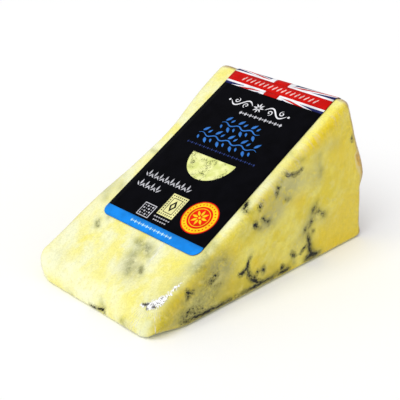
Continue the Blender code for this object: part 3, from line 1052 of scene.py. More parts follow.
def rind_tone(paint, looks, clouds):
    """Light brown rind, mottled and pitted, with a dusty bloom."""
    mottle = paint.add_scaled(clouds.patch, 0.6, paint.product(clouds.blotch, 0.4))
    rind = paint.mix(paint.share(mottle, 0.36, 0.64), looks.rind_colour, looks.rind_dark_colour)
    dust = paint.share(clouds.crumb, 0.44, 0.72)
    bloomed = paint.product(dust, paint.share(clouds.blotch, 0.66, 0.40))
    rind = paint.mix(paint.product(bloomed, 0.55), rind, looks.rind_bloom_colour)
    pits = paint.product(paint.share(clouds.ridge, 0.022, 0.0), 0.45)
    rind = paint.mix(pits, rind, looks.stain_and_shade_colour)
    return paint.scale(rind, paint.add_scaled(clouds.grain, 0.5, 0.75))


def with_lip(paint, looks, clouds, crust, colour):
    """The colour with the ragged orange lip of rind, and a painted highlight of the film along the
    lip's edge.
    """
    ragged = paint.add_scaled(clouds.patch, 1.4, paint.add_scaled(clouds.crumb, 0.8, -0.1))
    lip = paint.product(paint.stored("lip"), ragged)
    beside_rind = paint.add_scaled(crust, -0.8, 1.0)
    # A painted highlight of the film along the lip's edge, in the rind's bloom colour
    edge = paint.product(paint.share(lip, 0.16, 0.34), paint.share(lip, 0.62, 0.40))
    edge = paint.product(edge, paint.product(beside_rind, 0.5))
    colour = paint.mix(edge, colour, looks.rind_bloom_colour)
    streaks = paint.share(clouds.fleck, 0.40, 0.66)
    streaked = paint.mix(streaks, looks.lip_colour, looks.rind_dark_colour)
    bare = paint.product(paint.share(lip, 0.36, 0.70), beside_rind)
    return paint.mix(bare, colour, streaked)


def cheese_material(looks):
    """Crumbly pale curd with mould in its cracks, yellow patches and a rind at the back."""
    paint = Paint("blue cheese", roughness=0.5, specular=0.12)
    clouds = cheese_clouds(paint)
    # pale: 1 on the upper cut and the nose, where the curd takes its painted-sheen colours, 0 on
    # the flat sides, where it takes its painted-shade colours
    pale = paint.stored("pale")
    crust = paint.stored("rind")
    curd = mouldy_tone(paint, looks, clouds, pale, curd_tone(paint, looks, clouds, pale))
    depth = ragged_depth(paint, clouds)
    curd = paint.mix(paint.product(paint.share(depth, 1.3, 0.0), 0.5), curd, looks.stain_and_shade_colour)
    filled = paint.share(depth, 0.10, -0.02)
    curd = paint.mix(filled, curd, looks.mould_and_shadow_colour)
    colour = paint.mix(crust, curd, rind_tone(paint, looks, clouds))
    colour = with_lip(paint, looks, clouds, crust, colour)

    height = paint.math("SUBTRACT", paint.product(clouds.crumb, 0.8), filled)
    wrinkled = paint.add_scaled(paint.share(clouds.ridge, 0.0, 0.12), 1.6, height)
    on_curd = paint.product(height, paint.math("SUBTRACT", 1.0, crust))
    height = paint.math("ADD", on_curd, paint.product(wrinkled, crust))
    shader = paint.shader
    shader.inputs["Subsurface Weight"].default_value = looks.glow
    shader.inputs["Subsurface Radius"].default_value = GLOW_SPREAD
    shader.inputs["Subsurface Scale"].default_value = GLOW_REACH
    return paint.finish(colour, paint.share(clouds.crumb, -0.6, 1.7),
                        paint.bump(height, CURD_BUMP, 0.8))


def painted_glint_share(paint, crumple, streaks):
    """Where painted highlights whiten the film, for glints on its crumpled fold, crinkles, straight
    crease and gathers, with some of the white that creased film has.
    """
    fold = paint.stored("fold")
    raised = paint.math("ADD", fold, paint.add_scaled(crumple, 3.0, -1.5))
    broken = paint.product(paint.share(raised, 0.55, 0.80), paint.share(fold, 0.1, 0.35))
    across = paint.product(paint.share(streaks, 0.50, 0.64), paint.stored("crinkle"))
    soft = paint.largest(across, paint.stored("ridge"))
    wander = paint.add_scaled(crumple, 1.2, -0.6)
    turns = paint.add_scaled(paint.stored("gather"), 2.0 * math.pi * GATHER_COUNT, wander)
    wave = paint.math("SINE", turns)
    lines = paint.product(paint.share(wave, 0.55, 1.0), paint.share(streaks, 0.35, 0.6))
    lines = paint.product(lines, paint.product(paint.stored("gathered"), 0.6))
    return paint.largest(broken, paint.largest(soft, lines))


def film_material(looks):
    """Clear film: it lets light through, reflects at low angles, and has painted highlights on its
    folds and painted shade in their sharpest creases.
    """
    paint = Paint("clear film", roughness=0.25)
    creases = paint.noise(2.4 * MM, detail=4.0, twist=1.2, stretch=(0.45, 1.0, 1.0))
    normal = paint.bump(creases, looks.crease_depth, 1.0)
    nodes = paint.tree.nodes
    clear = nodes.new("ShaderNodeBsdfTransparent")
    gloss = nodes.new("ShaderNodeBsdfAnisotropic")
    gloss.inputs["Roughness"].default_value = looks.roughness
    paint.feed(gloss.inputs["Normal"], normal)
    fresnel = paint.node("ShaderNodeFresnel", looks.ior, normal).outputs[0]
    front = paint.math("SUBTRACT", 1.0, nodes.new("ShaderNodeNewGeometry").outputs["Backfacing"])
    sheet = paint.blend(paint.product(fresnel, front), clear, gloss)

    # The white of the painted highlights
    paint.shader.inputs["Base Color"].default_value = (*looks.painted_glint_colour, 1.0)
    crumple = paint.noise(0.7 * MM, detail=3.0, twist=1.5)
    streaks = paint.noise(1.5 * MM, detail=3.0, stretch=(2.4, 0.35, 0.35))
    glinted = paint.blend(painted_glint_share(paint, crumple, streaks), sheet, paint.shader)

    # Painted shade in the fold's sharpest creases and deepest pits, as a dark diffuse sheet
    dark = nodes.new("ShaderNodeBsdfDiffuse")
    dark.inputs["Color"].default_value = (*looks.crease_shade_colour, 1.0)
    sunk = paint.math("SUBTRACT", paint.stored("fold"), paint.add_scaled(crumple, 3.4, -1.7))
    pits = paint.product(paint.share(sunk, 1.10, 1.28), 0.85)
    creased = paint.blend(paint.largest(pits, paint.stored("crease")), glinted, dark)
    paint.feed(nodes["Material Output"].inputs["Surface"], creased.outputs[0])
    return paint.material


def ink_material(name, colour, roughness=0.4, specular=0.05, uneven=0.12):
    """Printed ink: slightly uneven in tone, gloss and surface."""
    paint = Paint(name, roughness, specular)
    cloud = paint.noise(3.5 * MM, detail=4.0)
    grain = paint.noise(0.25 * MM, detail=2.0)
    weaker = tuple(channel * (1.0 - uneven) for channel in colour)
    stronger = tuple(min(1.0, channel * (1.0 + uneven)) for channel in colour)
    tone = paint.mix(paint.share(cloud, 0.3, 0.7), weaker, stronger)
    tone = paint.mix(paint.product(paint.share(grain, 0.45, 0.75), 0.2), tone, colour)
    sheen = paint.add_scaled(cloud, 0.16, roughness - 0.08)
    return paint.finish(tone, sheen, paint.bump(grain, INK_GRAIN, 0.4))


def picture_material(looks):
    """The little picture of cheese on the label: cream with dark veins."""
    paint = Paint("printed cheese", 0.4, 0.12)
    blotch = paint.noise(3.0 * MM, detail=3.0)
    veins = paint.noise(1.8 * MM, detail=5.0, twist=1.6)
    thin = paint.math("ABSOLUTE", paint.math("SUBTRACT", veins, 0.5))
    where = paint.share(paint.noise(4.2 * MM, detail=1.0), 0.46, 0.60)
    marks = paint.largest(paint.share(thin, 0.035, 0.008), paint.share(veins, 0.60, 0.66))
    cream = paint.mix(paint.share(blotch, 0.35, 0.65), looks.picture_cream, looks.picture_shade)
    return paint.finish(paint.mix(paint.product(marks, where), cream, looks.picture_vein), 0.4)


# The label

def label_place(travel, height):
    """Point in the plane across the label, at a distance along it and a height over the film."""
    centre_radius = DRUM_RADIUS - CREST_ROUND
    bend_start = math.sqrt(centre_radius**2 - CREST_ROUND**2) - LABEL_FRONT
    rind_angle = CUT_ANGLE - math.asin(CREST_ROUND / centre_radius)
    bend_turn = math.pi / 2 + CUT_ANGLE - rind_angle
    bend_end = bend_start + bend_turn * (CREST_ROUND + LABEL_GAP)
    if travel < bend_start:
        return (Vector((COS_CUT, SIN_CUT)) * (LABEL_FRONT + travel)
                + Vector((-SIN_CUT, COS_CUT)) * height)
    if travel < bend_end:
        turned = math.pi / 2 + CUT_ANGLE - (travel - bend_start) / (CREST_ROUND + LABEL_GAP)
        centre = Vector((math.cos(rind_angle), math.sin(rind_angle))) * centre_radius
        return centre + Vector((math.cos(turned), math.sin(turned))) * (CREST_ROUND + height)
    angle = rind_angle - (travel - bend_end) / (DRUM_RADIUS + LABEL_GAP)
    return Vector((math.cos(angle), math.sin(angle))) * (DRUM_RADIUS + height)


def label_point(v, u, height):
    """Place in the drum's frame of a point of the label."""
    wave = noise.noise(Vector((u, v, 0.0)) * MM / PAPER_WAVE_SIZE)
    place = label_place(u * MM, height + PAPER_WAVE * (1.0 + wave))
    return Vector((place.x, FAR_EDGE - v * MM, place.y))


def rectangle(v0, u0, v1, u1):
    return [(v0, u0), (v1, u0), (v1, u1), (v0, u1)]


def arc(v, u, radius, start, turn, steps):
    """Points along part of a circle, with angles in degrees."""
    angles = [math.radians(start + turn * k / steps) for k in range(steps + 1)]
    return [(v + radius * math.cos(a), u + radius * math.sin(a)) for a in angles]


def disc(v, u, radius, steps=40):
    return arc(v, u, radius, 0.0, 360.0, steps)[:-1]


def rounded_rectangle(v0, u0, v1, u1, radius, steps=6):
    corners = ((v1, u0, -90.0), (v1, u1, 0.0), (v0, u1, 90.0), (v0, u0, 180.0))
    middle_v, middle_u = (v0 + v1) / 2, (u0 + u1) / 2
    outline = []
    for v, u, start in corners:
        inner_v = v + math.copysign(radius, middle_v - v)
        inner_u = u + math.copysign(radius, middle_u - u)
        outline += arc(inner_v, inner_u, radius, start, 90.0, steps)
    return outline


def lozenge(v, u, half_width, half_height):
    return [(v - half_width, u), (v, u - half_height), (v + half_width, u), (v, u + half_height)]


def leaf(v, u, length, width, heading, steps=7):
    """A pointed leaf that starts at a place and grows at an angle in degrees."""
    ahead = Vector((math.cos(math.radians(heading)), math.sin(math.radians(heading))))
    aside = Vector((-ahead.y, ahead.x))
    outline = []
    for side in (1, -1):
        for k in range(steps):
            share = k / steps if side == 1 else 1.0 - k / steps
            belly = side * 0.5 * width * math.sin(math.pi * share ** 0.8)
            outline.append(Vector((v, u)) + ahead * (length * share) + aside * belly)
    return [tuple(point) for point in outline]


def stroke(path, width, taper=0.25):
    """An even line along a path, drawn thinner at its ends."""
    places = [Vector(place) for place in path]
    left, right = [], []
    for index, place in enumerate(places):
        ahead = places[min(index + 1, len(places) - 1)] - places[max(index - 1, 0)]
        aside = Vector((-ahead.y, ahead.x)).normalized()
        share = index / (len(places) - 1)
        half = 0.5 * width * min(1.0, taper + 4.0 * min(share, 1.0 - share))
        left.append(place + aside * half)
        right.append(place - aside * half)
    return [tuple(point) for point in left + right[::-1]]


def curl(v, u, radius, start, turns, width, steps=26):
    """A spiral line that winds in to its centre."""
    path = []
    for k in range(steps + 1):
        share = k / steps
        angle = math.radians(start) + 2.0 * math.pi * turns * share
        reach = radius * (1.0 - 0.82 * share)
        path.append((v + reach * math.cos(angle), u + reach * math.sin(angle)))
    return stroke(path, width)


def ring(v, u, outer, inner, steps=56):
    """A ring as a pair of outlines."""
    return (disc(v, u, outer, steps), disc(v, u, inner, steps))


def frame_line(v0, u0, v1, u1, width):
    """A rectangular frame as a pair of outlines."""
    inner = rectangle(v0 + width, u0 + width, v1 - width, u1 - width)
    return (rectangle(v0, u0, v1, u1), inner)


def clipped_quad(corners, low, high):
    """The part of an outline between two distances up the label."""
    for limit, keep_above in ((low, True), (high, False)):
        kept = []
        for (v0, u0), (v1, u1) in zip(corners, corners[1:] + corners[:1]):
            inside0 = (u0 >= limit) == keep_above
            inside1 = (u1 >= limit) == keep_above
            if inside0:
                kept.append((v0, u0))
            if inside0 != inside1:
                share = (limit - u0) / (u1 - u0)
                kept.append((v0 + (v1 - v0) * share, limit))
        corners = kept
    return corners


def fill_shapes(shapes):
    """A flat mesh of filled outlines. A pair of outlines is filled between the two."""
    mesh = bmesh.new()
    for shape in shapes:
        if isinstance(shape, tuple):
            outer, inner = [[mesh.verts.new((*place, 0.0)) for place in loop] for loop in shape]
            for k in range(len(outer)):
                follow = (k + 1) % len(outer)
                mesh.faces.new((outer[k], outer[follow], inner[follow], inner[k]))
        elif len(shape) > 2:
            mesh.faces.new([mesh.verts.new((*place, 0.0)) for place in shape])
    bmesh.ops.triangulate(mesh, faces=mesh.faces)
    bmesh.ops.recalc_face_normals(mesh, faces=mesh.faces)
    for face in mesh.faces:
        if face.normal.z < 0.0:
            face.normal_flip()
    return mesh


def cut_in_cells(mesh):
    """Cuts a flat mesh into cells that can follow the label's bend."""
    start, end = LABEL_BEND
    rows = [*np.arange(PAPER_CELL, start, PAPER_CELL), *np.arange(start, end, BEND_CELL),
            *np.arange(end, LABEL_LENGTH, PAPER_CELL)]
    columns = np.arange(PAPER_CELL, WIDE, PAPER_CELL)
    for places, direction in ((rows, Vector((0, 1, 0))), (columns, Vector((1, 0, 0)))):
        spans = [vert.co.dot(direction) for vert in mesh.verts]
        for place in [p for p in places if min(spans) < p < max(spans)]:
            parts = [*mesh.verts, *mesh.edges, *mesh.faces]
            bmesh.ops.bisect_plane(mesh, geom=parts, dist=1e-5, plane_co=direction * place,
                                   plane_no=direction)


def print_plate(name, shapes, layer, material):
    """A thin plate of ink or paper with the given outlines, bent with the label."""
    mesh = fill_shapes(shapes)
    cut_in_cells(mesh)
    top = PAPER_TOP + layer * INK_STEP
    for vert in mesh.verts:
        vert.co = label_point(vert.co.x, vert.co.y, top)
    piece = place_piece(name, mesh, material)
    thicken = piece.modifiers.new("thickness", "SOLIDIFY")
    thicken.thickness = top - (PAPER_LOW if layer == 0 else PAPER_TOP - INK_STEP)
    thicken.offset = -1.0
    piece.data.set_sharp_from_angle(angle=math.radians(40))
    return piece


def leaning(shapes):
    """Outlines turned a little on the label, about its middle."""
    return [[(v, u + BAND_LEAN * (v - WIDE / 2)) for v, u in shape] for shape in shapes]


def flag_arms(half_width):
    """Four slanting arms that leave the corners of the band's cross, cut to the band."""
    arms = []
    for corner, root, end in ((UPRIGHT[0], UPRIGHT[0] - ARM_START, 0.0),
                              (UPRIGHT[1], UPRIGHT[1] + ARM_START, WIDE)):
        for edge, limit in ((BORDER_LOW, BAND_LOW), (BORDER_HIGH, BAND_HIGH)):
            rise = math.copysign(ARM_RISE, limit - edge)
            u0, u1 = edge - rise * ARM_START, edge + rise * abs(end - root)
            quad = [(corner, u0 - half_width), (end, u1 - half_width),
                    (end, u1 + half_width), (corner, u0 + half_width)]
            arms.append(clipped_quad(quad, min(edge, limit), max(edge, limit)))
    return arms


def leaf_garland(v0, v1, u0, u1, count, width):
    """A wavy stem with leaves on both sides, between two ends and two heights."""
    middle, height = (u0 + u1) / 2, u1 - u0
    pitch = (v1 - v0) / count
    stem = [(mix(v0, v1, k / 60), middle + 0.1 * height * math.sin(math.pi * k * count / 60))
            for k in range(61)]
    shapes = [stroke(stem, width)]
    for k in range(count):
        side = 1 if k % 2 == 0 else -1
        v = v0 + (k + 0.30) * pitch
        shapes.append(leaf(v, middle + side * 0.22 * height, 0.52 * height, 1.1, side * 52.0))
        root = middle - side * (0.12 * height + 0.3)
        shapes.append(leaf(v - 0.1 * pitch, root, 0.34 * height, 0.8, side * -60.0))
    return shapes


def bead_row(v0, v1, u, size, count):
    """A row of lozenges, large and small in turn."""
    shapes = []
    for k in range(count):
        scale = 1.0 if k % 2 == 0 else 0.55
        v = mix(v0, v1, (k + 0.5) / count)
        shapes.append(lozenge(v, u, size * scale * 0.8, size * scale))
    return shapes


def sprig_row(v0, v1, u0, u1, count):
    """A row of upright sprigs of three leaves."""
    shapes = []
    height = u1 - u0
    for k in range(count):
        v = mix(v0, v1, (k + 0.5) / count)
        shapes.append(leaf(v, u0 + 0.3 * height, 0.7 * height, 0.62, 90.0))
        for side in (-1, 1):
            turn = 90.0 - side * 42.0
            shapes.append(leaf(v + side * 0.25, u0 + 0.12 * height, 0.62 * height, 0.5, turn))
    return shapes


def rosette(v, u, start, length, width):
    """Eight leaves round a centre, which begin at a distance from it."""
    return [leaf(*place, length, width, 45.0 * k) for k, place in enumerate(disc(v, u, start, 8))]


def scroll_mark(v, u, reach, height):
    """A rosette between two long scrolls."""
    shapes = rosette(v, u, 0.35, 0.42 * height, 0.55)
    length = reach - 0.92 * height
    for side in (-1, 1):
        root = v + side * 0.62 * height
        shares = [k / 24 for k in range(25)]
        sweep = [(root + side * share * length,
                  u + 0.36 * height * math.sin(2.0 * math.pi * share)) for share in shares]
        shapes.append(stroke(sweep, 0.5))
        for share, way in ((0.27, -1), (0.77, 1)):
            shapes.append(curl(root + side * share * length, u + way * 0.12 * height,
                               0.27 * height, way * 90.0, side * 1.1, 0.32))
        shapes.append(disc(v + side * (reach - 0.1 * height), u, 0.1 * height, 16))
    return shapes


def make_label_paper(looks):
    """The paper of the label, printed black."""
    outline = rounded_rectangle(0.0, 0.0, WIDE, LABEL_LENGTH, LABEL_CORNER / MM)
    black = ink_material("black print", looks.black, 0.42, 0.02, 0.25)
    paper = print_plate("label_paper", [outline], 0, black)
    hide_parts("label")


def make_front_strip(looks):
    """A blue strip along the label's front edge, with a row of beads."""
    outline = rounded_rectangle(0.0, 0.0, WIDE, 2 * LABEL_CORNER / MM, LABEL_CORNER / MM)
    strip = clipped_quad(outline, 0.0, STRIP_TOP)
    print_plate("label_front_strip", [strip], 1, ink_material("blue print", looks.strip_blue))
    print_plate("label_strip_beads", bead_row(*STRIP_BEADS), 2,
                ink_material("pale print", looks.strip_white))


def make_flag_band(looks):
    """Plates of white, red and navy that make the band's cross, with leaves along its bar."""
    white = ink_material("white print", looks.white)
    red = ink_material("red print", looks.red)
    navy = ink_material("navy print", looks.navy)
    rose = ink_material("rose print", looks.rose)
    left, right = UPRIGHT
    border = [rectangle(0.0, BORDER_LOW, WIDE, BORDER_HIGH)]
    border += [rectangle(left - UPRIGHT_BORDER, low, right + UPRIGHT_BORDER, high)
               for low, high in ((BAND_LOW, BORDER_LOW), (BORDER_HIGH, BAND_HIGH))]
    cross = [rectangle(0.0, BAR_LOW, WIDE, BAR_HIGH), rectangle(left, BAR_HIGH, right, BAND_HIGH),
             rectangle(left, BAND_LOW, right, BAR_LOW)]
    middle = (BAR_LOW + BAR_HIGH) / 2
    marks = []
    for k in range(BAR_LEAVES):
        v = mix(*BAR_LEAF_ENDS, (k + 0.5) / BAR_LEAVES)
        marks += [leaf(v - 0.45, middle - 1.0, 1.9, 0.62, 62.0),
                  leaf(v + 0.75, middle + 1.0, 1.5, 0.5, 242.0)]
    plates = (("ground", [rectangle(0.0, BAND_LOW, WIDE, BAND_HIGH)], navy),
              ("white_arms", flag_arms(WHITE_ARM), white), ("red_arms", flag_arms(RED_ARM), red),
              ("border", border, white), ("cross", cross, red), ("marks", marks, rose))
    for layer, (name, shapes, ink) in enumerate(plates, 1):
        print_plate(f"label_band_{name}", leaning(shapes), layer, ink)


def make_blue_garlands(looks):
    """Two rows of blue leaves over a row of fine beads."""
    shapes = []
    for garland in GARLANDS:
        shapes += leaf_garland(*garland, GARLAND_STEM)
    print_plate("label_garlands", shapes, 1, ink_material("bright blue print", looks.word_blue))
    print_plate("label_fine_beads", bead_row(*FINE_BEADS), 1,
                ink_material("deep blue print", looks.fine_blue))


def make_white_ornaments(looks):
    """Scrolls near the crest, a row of beads under them, and sprigs near the front edge."""
    white = ink_material("warm white print", looks.white)
    grey = ink_material("grey print", looks.grey)
    print_plate("label_scrolls", scroll_mark(*SCROLLS), 1, white)
    shapes = bead_row(*SCROLL_BEADS)
    for sprigs in SPRIGS:
        shapes += sprig_row(*sprigs)
    print_plate("label_small_ornaments", shapes, 1, grey)


def make_picture(looks):
    """A half disc with a pattern of veined cheese."""
    half_disc = arc(*PICTURE, 180.0, 180.0, 48)
    print_plate("label_picture", [half_disc], 1, picture_material(looks))


def make_badge(looks):
    """A round badge: a flower in the middle and a ring of beads."""
    v, u = BADGE
    outer, yellow, centre, line = BADGE_RADII
    red = ink_material("badge red print", looks.badge_red)
    gold = ink_material("badge yellow print", looks.badge_yellow)
    print_plate("label_badge_ring", [disc(v, u, outer, 64)], 1, red)
    print_plate("label_badge_yellow", [disc(v, u, yellow, 64)], 2, gold)
    beads = [disc(*place, 0.24, 10) for place in disc(v, u, (yellow + centre) / 2, BADGE_BEADS)]
    print_plate("label_badge_centre", [disc(v, u, centre, 56)] + beads, 3, red)
    flower = rosette(v, u, 0.7, 2.2, 0.85)
    flower += [disc(v, u, 0.45, 16), ring(v, u, line - 0.25, line - 0.5)]
    print_plate("label_badge_flower", flower, 4, gold)


def make_panels(looks):
    """A framed lozenge on a pale panel, and beside it a square lattice and rows of beads."""
    v0, u0, v1, u1 = PANEL
    gold = ink_material("pale gold print", looks.gold)
    black = ink_material("panel black print", looks.black)
    grey = ink_material("light grey print", looks.grey)
    print_plate("label_panel", [rectangle(v0, u0, v1, u1)], 1, gold)
    middle_v, middle_u = (v0 + v1) / 2, (u0 + u1) / 2
    inner = rectangle(v0 + PANEL_FRAME, u0 + PANEL_FRAME, v1 - PANEL_FRAME, u1 - PANEL_FRAME)
    marks = [frame_line(*inner[0], *inner[2], PANEL_LINE),
             lozenge(middle_v, middle_u, *PANEL_LOZENGE)]
    for v in np.arange(v0 + 0.7, v1 - 0.3, 0.85):
        marks += [lozenge(v, u, 0.26, 0.34) for u in (u0 + PANEL_EDGE, u1 - PANEL_EDGE)]
    for u in np.arange(u0 + 1.75, u1 - 1.2, 0.86):
        marks += [lozenge(v, u, 0.3, 0.26) for v in (v0 + PANEL_EDGE, v1 - PANEL_EDGE)]
    print_plate("label_panel_marks", marks, 2, black)
    print_plate("label_panel_heart", [lozenge(middle_v, middle_u, *PANEL_HEART)], 3, gold)

    lattice = [frame_line(*SQUARE, LATTICE_LINE)]
    for row in range(LATTICE_COUNT):
        for column in range(LATTICE_COUNT):
            size = LATTICE_SIZES[(row + column) % 2]
            v = SQUARE[0] + LATTICE_START[0] + column * LATTICE_PITCH[0]
            u = SQUARE[1] + LATTICE_START[1] + row * LATTICE_PITCH[1]
            lattice.append(lozenge(v, u, size, size))
    for beads in PANEL_BEADS:
        lattice += bead_row(*beads)
    print_plate("label_square_lattice", lattice, 1, grey)


def make_tail(looks):
    """The end of the label, behind the crest: two rows of beads on black."""
    grey = ink_material("tail grey print", looks.grey)
    print_plate("label_tail_beads", bead_row(*TAIL_BEADS[0]) + bead_row(*TAIL_BEADS[1]), 1, grey)


# What a user can change

def colour_setting(name, description, default):
    return FloatVectorProperty(name=name, description=description, subtype="COLOR",
                               default=default, min=0.0, max=1.0)


def share_setting(name, description, default):
    return FloatProperty(name=name, description=description, subtype="FACTOR",
                         default=default, min=0.0, max=1.0)


class CheeseLooks(bpy.types.PropertyGroup):
    # Curd and Butter: the curd's colours on the flat sides, deepened as painted shade
    shaded_curd_colour: colour_setting("Curd", "Lighter curd of the flat sides", rgb(232, 220, 104))
    shaded_butter_colour: colour_setting("Butter", "Deeper curd of the flat sides", rgb(224, 204, 58))
    # Pale curd and Pale butter: the curd's colours on the upper cut and the nose, paled as the
    # film's painted sheen
    sheen_curd_colour: colour_setting("Pale curd", "Lighter curd of the upper cut", rgb(238, 238, 188))
    sheen_butter_colour: colour_setting(
        "Pale butter", "Deeper curd of the upper cut and the nose", rgb(239, 232, 138))
    # White curd and Side flecks: the whiter flecks, paled as painted sheen on the upper cut and the
    # nose and deepened as painted shade on the flat sides
    sheen_white_curd_colour: colour_setting("White curd", "Whitish flecks of curd", rgb(240, 240, 208))
    shaded_white_curd_colour: colour_setting(
        "Side flecks", "Lighter flecks of curd on the flat sides", rgb(226, 218, 138))
    # Gold and Pale gold: the deep yellow patches, deepened as painted shade on the flat sides and
    # paled as painted sheen on the upper cut and the nose
    shaded_gold_colour: colour_setting("Gold", "Deep yellow patches", rgb(230, 202, 36))
    sheen_gold_colour: colour_setting(
        "Pale gold", "Deep yellow patches of the upper cut and the nose", rgb(238, 226, 92))
    haze_colour: colour_setting("Haze", "Pale grey patches under the film", rgb(192, 186, 126))
    # Stain: the colour of the mould stains, and of painted shade in a few broad patches and along
    # the foot of the near side
    stain_and_shade_colour: colour_setting("Stain", "Soft olive-grey mould", rgb(116, 112, 56))
    # Pale stain: the stain colour paled as painted sheen on the upper cut and the nose; it also
    # paints shade along a fold of the film and in the notch of the nose
    sheen_stain_and_shade_colour: colour_setting(
        "Pale stain", "Soft mould of the upper cut and the nose", rgb(132, 138, 90))
    # Mould: dark mould in the cracks, and the colour of the painted shadow lines along the foot and
    # under the nose
    mould_and_shadow_colour: colour_setting("Mould", "Dark mould in the cracks", rgb(16, 17, 5))
    lip_colour: colour_setting("Lip", "Orange rind beside the near side", rgb(222, 170, 52))
    rind_colour: colour_setting("Rind", "Main colour of the rind", rgb(204, 164, 108))
    rind_dark_colour: colour_setting("Dark rind", "Darker areas of the rind", rgb(170, 130, 84))
    rind_bloom_colour: colour_setting("Rind bloom", "Dusty bloom on the rind", rgb(222, 204, 170))
    glow: share_setting("Glow", "Share of light that scatters under the surface", 0.08)
    cells: IntVectorProperty(
        name="Cells", description="How many cells the surface has along, across and up",
        default=CELLS, min=8, max=200)


class FilmLooks(bpy.types.PropertyGroup):
    ior: FloatProperty(
        name="Refraction", description="Refractive index of the film", default=1.2,
        min=1.0, max=2.0)
    roughness: share_setting("Roughness", "How blurred the film's reflections are", 0.12)
    crease_depth: FloatProperty(
        name="Crease depth", description="Depth of the film's finest creases", default=0.0001,
        min=0.0, max=0.001, subtype="DISTANCE", unit="LENGTH")
    # Fold: the white of the painted highlights on the film's folds, crinkles and gathers
    painted_glint_colour: colour_setting("Fold", "White of the crumpled fold", (0.98, 0.98, 0.98))
    # Crease: the dark of the painted shade in the film's sharpest creases
    crease_shade_colour: colour_setting("Crease", "Dark of the sharpest creases", rgb(58, 52, 42))


def ink_setting(name, red, green, blue):
    """The colour of one printed ink."""
    return colour_setting(name, f"Ink: {name.lower()}", rgb(red, green, blue))


class LabelLooks(bpy.types.PropertyGroup):
    black: ink_setting("Black", 6, 6, 10)
    strip_blue: ink_setting("Strip blue", 24, 134, 228)
    strip_white: ink_setting("Strip white", 176, 222, 252)
    white: ink_setting("White", 236, 236, 240)
    red: ink_setting("Red", 196, 14, 8)
    navy: ink_setting("Navy", 34, 38, 92)
    rose: ink_setting("Rose white", 244, 196, 190)
    word_blue: ink_setting("Bright blue", 54, 118, 200)
    fine_blue: ink_setting("Deep blue", 40, 56, 112)
    grey: ink_setting("Grey", 196, 196, 202)
    gold: ink_setting("Pale gold", 232, 228, 160)
    badge_red: ink_setting("Badge red", 226, 34, 8)
    badge_yellow: ink_setting("Badge yellow", 255, 200, 26)
    picture_cream: ink_setting("Picture cream", 238, 240, 168)
    picture_shade: ink_setting("Picture shade", 216, 222, 134)
    picture_vein: ink_setting("Picture vein", 70, 74, 40)


class StageLooks(bpy.types.PropertyGroup):
    floor_colour: colour_setting("Floor", "Colour of the floor", (0.98, 0.98, 0.98))
    sky_strength: FloatProperty(
        name="Sky", description="Brightness of the even light all round", default=0.58, min=0.0)
    key_strength: FloatProperty(
        name="Key light", description="Strength of the broad light from above the nose",
        default=1.75, min=0.0)
    key_spread: FloatProperty(
        name="Key spread", description="How broad the key light is",
        default=math.radians(50), min=0.0, max=math.pi, subtype="ANGLE", unit="ROTATION")


# Operators

class CHEESE_OT_make_cheese(bpy.types.Operator):
    """Makes the cheese, with its cracks, stains and rind"""
    bl_idname = "cheese_wedge.make_cheese"
    bl_label = "Make cheese"

    def execute(self, context):
        looks = context.scene.cheese_looks
        mesh = divided_cube(looks.cells)
        points = settled(sector_points(mesh), CHEESE_INSET)
        more_cracks, more_stains, more_hazes, more_warm = hidden_marks(random.Random(MARK_SEED))
        bends = [noise_heights(points, CRACK_BEND_SIZE, shift) for shift in CRACK_BEND_SHIFTS]
        bent = points + CRACK_BEND * np.stack(bends, axis=1)
        crack = crack_depth(bent, CRACKS_AND_SHADOWS + more_cracks)

        height = SWELL_HEIGHT * noise_heights(points, SWELL_SIZE) * (1.0 - label_share(points))
        height = height + CRUMB_HEIGHT * noise_heights(points, CRUMB_SIZE, CRUMB_SHIFT)
        height = height + notch_relief(points) - CRACK_SINK * fading(crack, *CRACK_EDGE)
        raise_surface(mesh, points, height)
        piece = place_piece("cheese_wedge", mesh, cheese_material(looks))

        store(piece, "crack", crack)
        # stain carries painted shade as well as mould stains
        for name, patches in (("stain_and_shade", STAINS_AND_SHADE + more_stains), ("haze", HAZES + more_hazes),
                              ("warm", WARM_PATCHES_AND_SHADE + more_warm), ("bloom", WHITER_CURD_AND_SHEEN), ("lip", LIP)):
            store(piece, name, patch_share(points, patches))
        ragged = RIND_EDGE_RAGGED * noise_heights(points, RIND_EDGE_SIZE, RIND_SHIFT)
        depth = DRUM_RADIUS - np.hypot(points[:, 0], points[:, 2]) - ragged
        store(piece, "rind", smooth_share(-depth, -RIND_DEPTHS[0], -RIND_DEPTHS[1]))
        # Painted sheen and shade: 1 where a face doesn't look sideways, for the paler copies of the
        # curd's colours, fading to 0 on the flat sides, for the deeper copies
        store(piece, "pale", fading(np.abs(wrap_normals(points)[:, 1]), *SHEEN_TO_SHADE))
        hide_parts("wrapped_cheese")
        return {"FINISHED"}


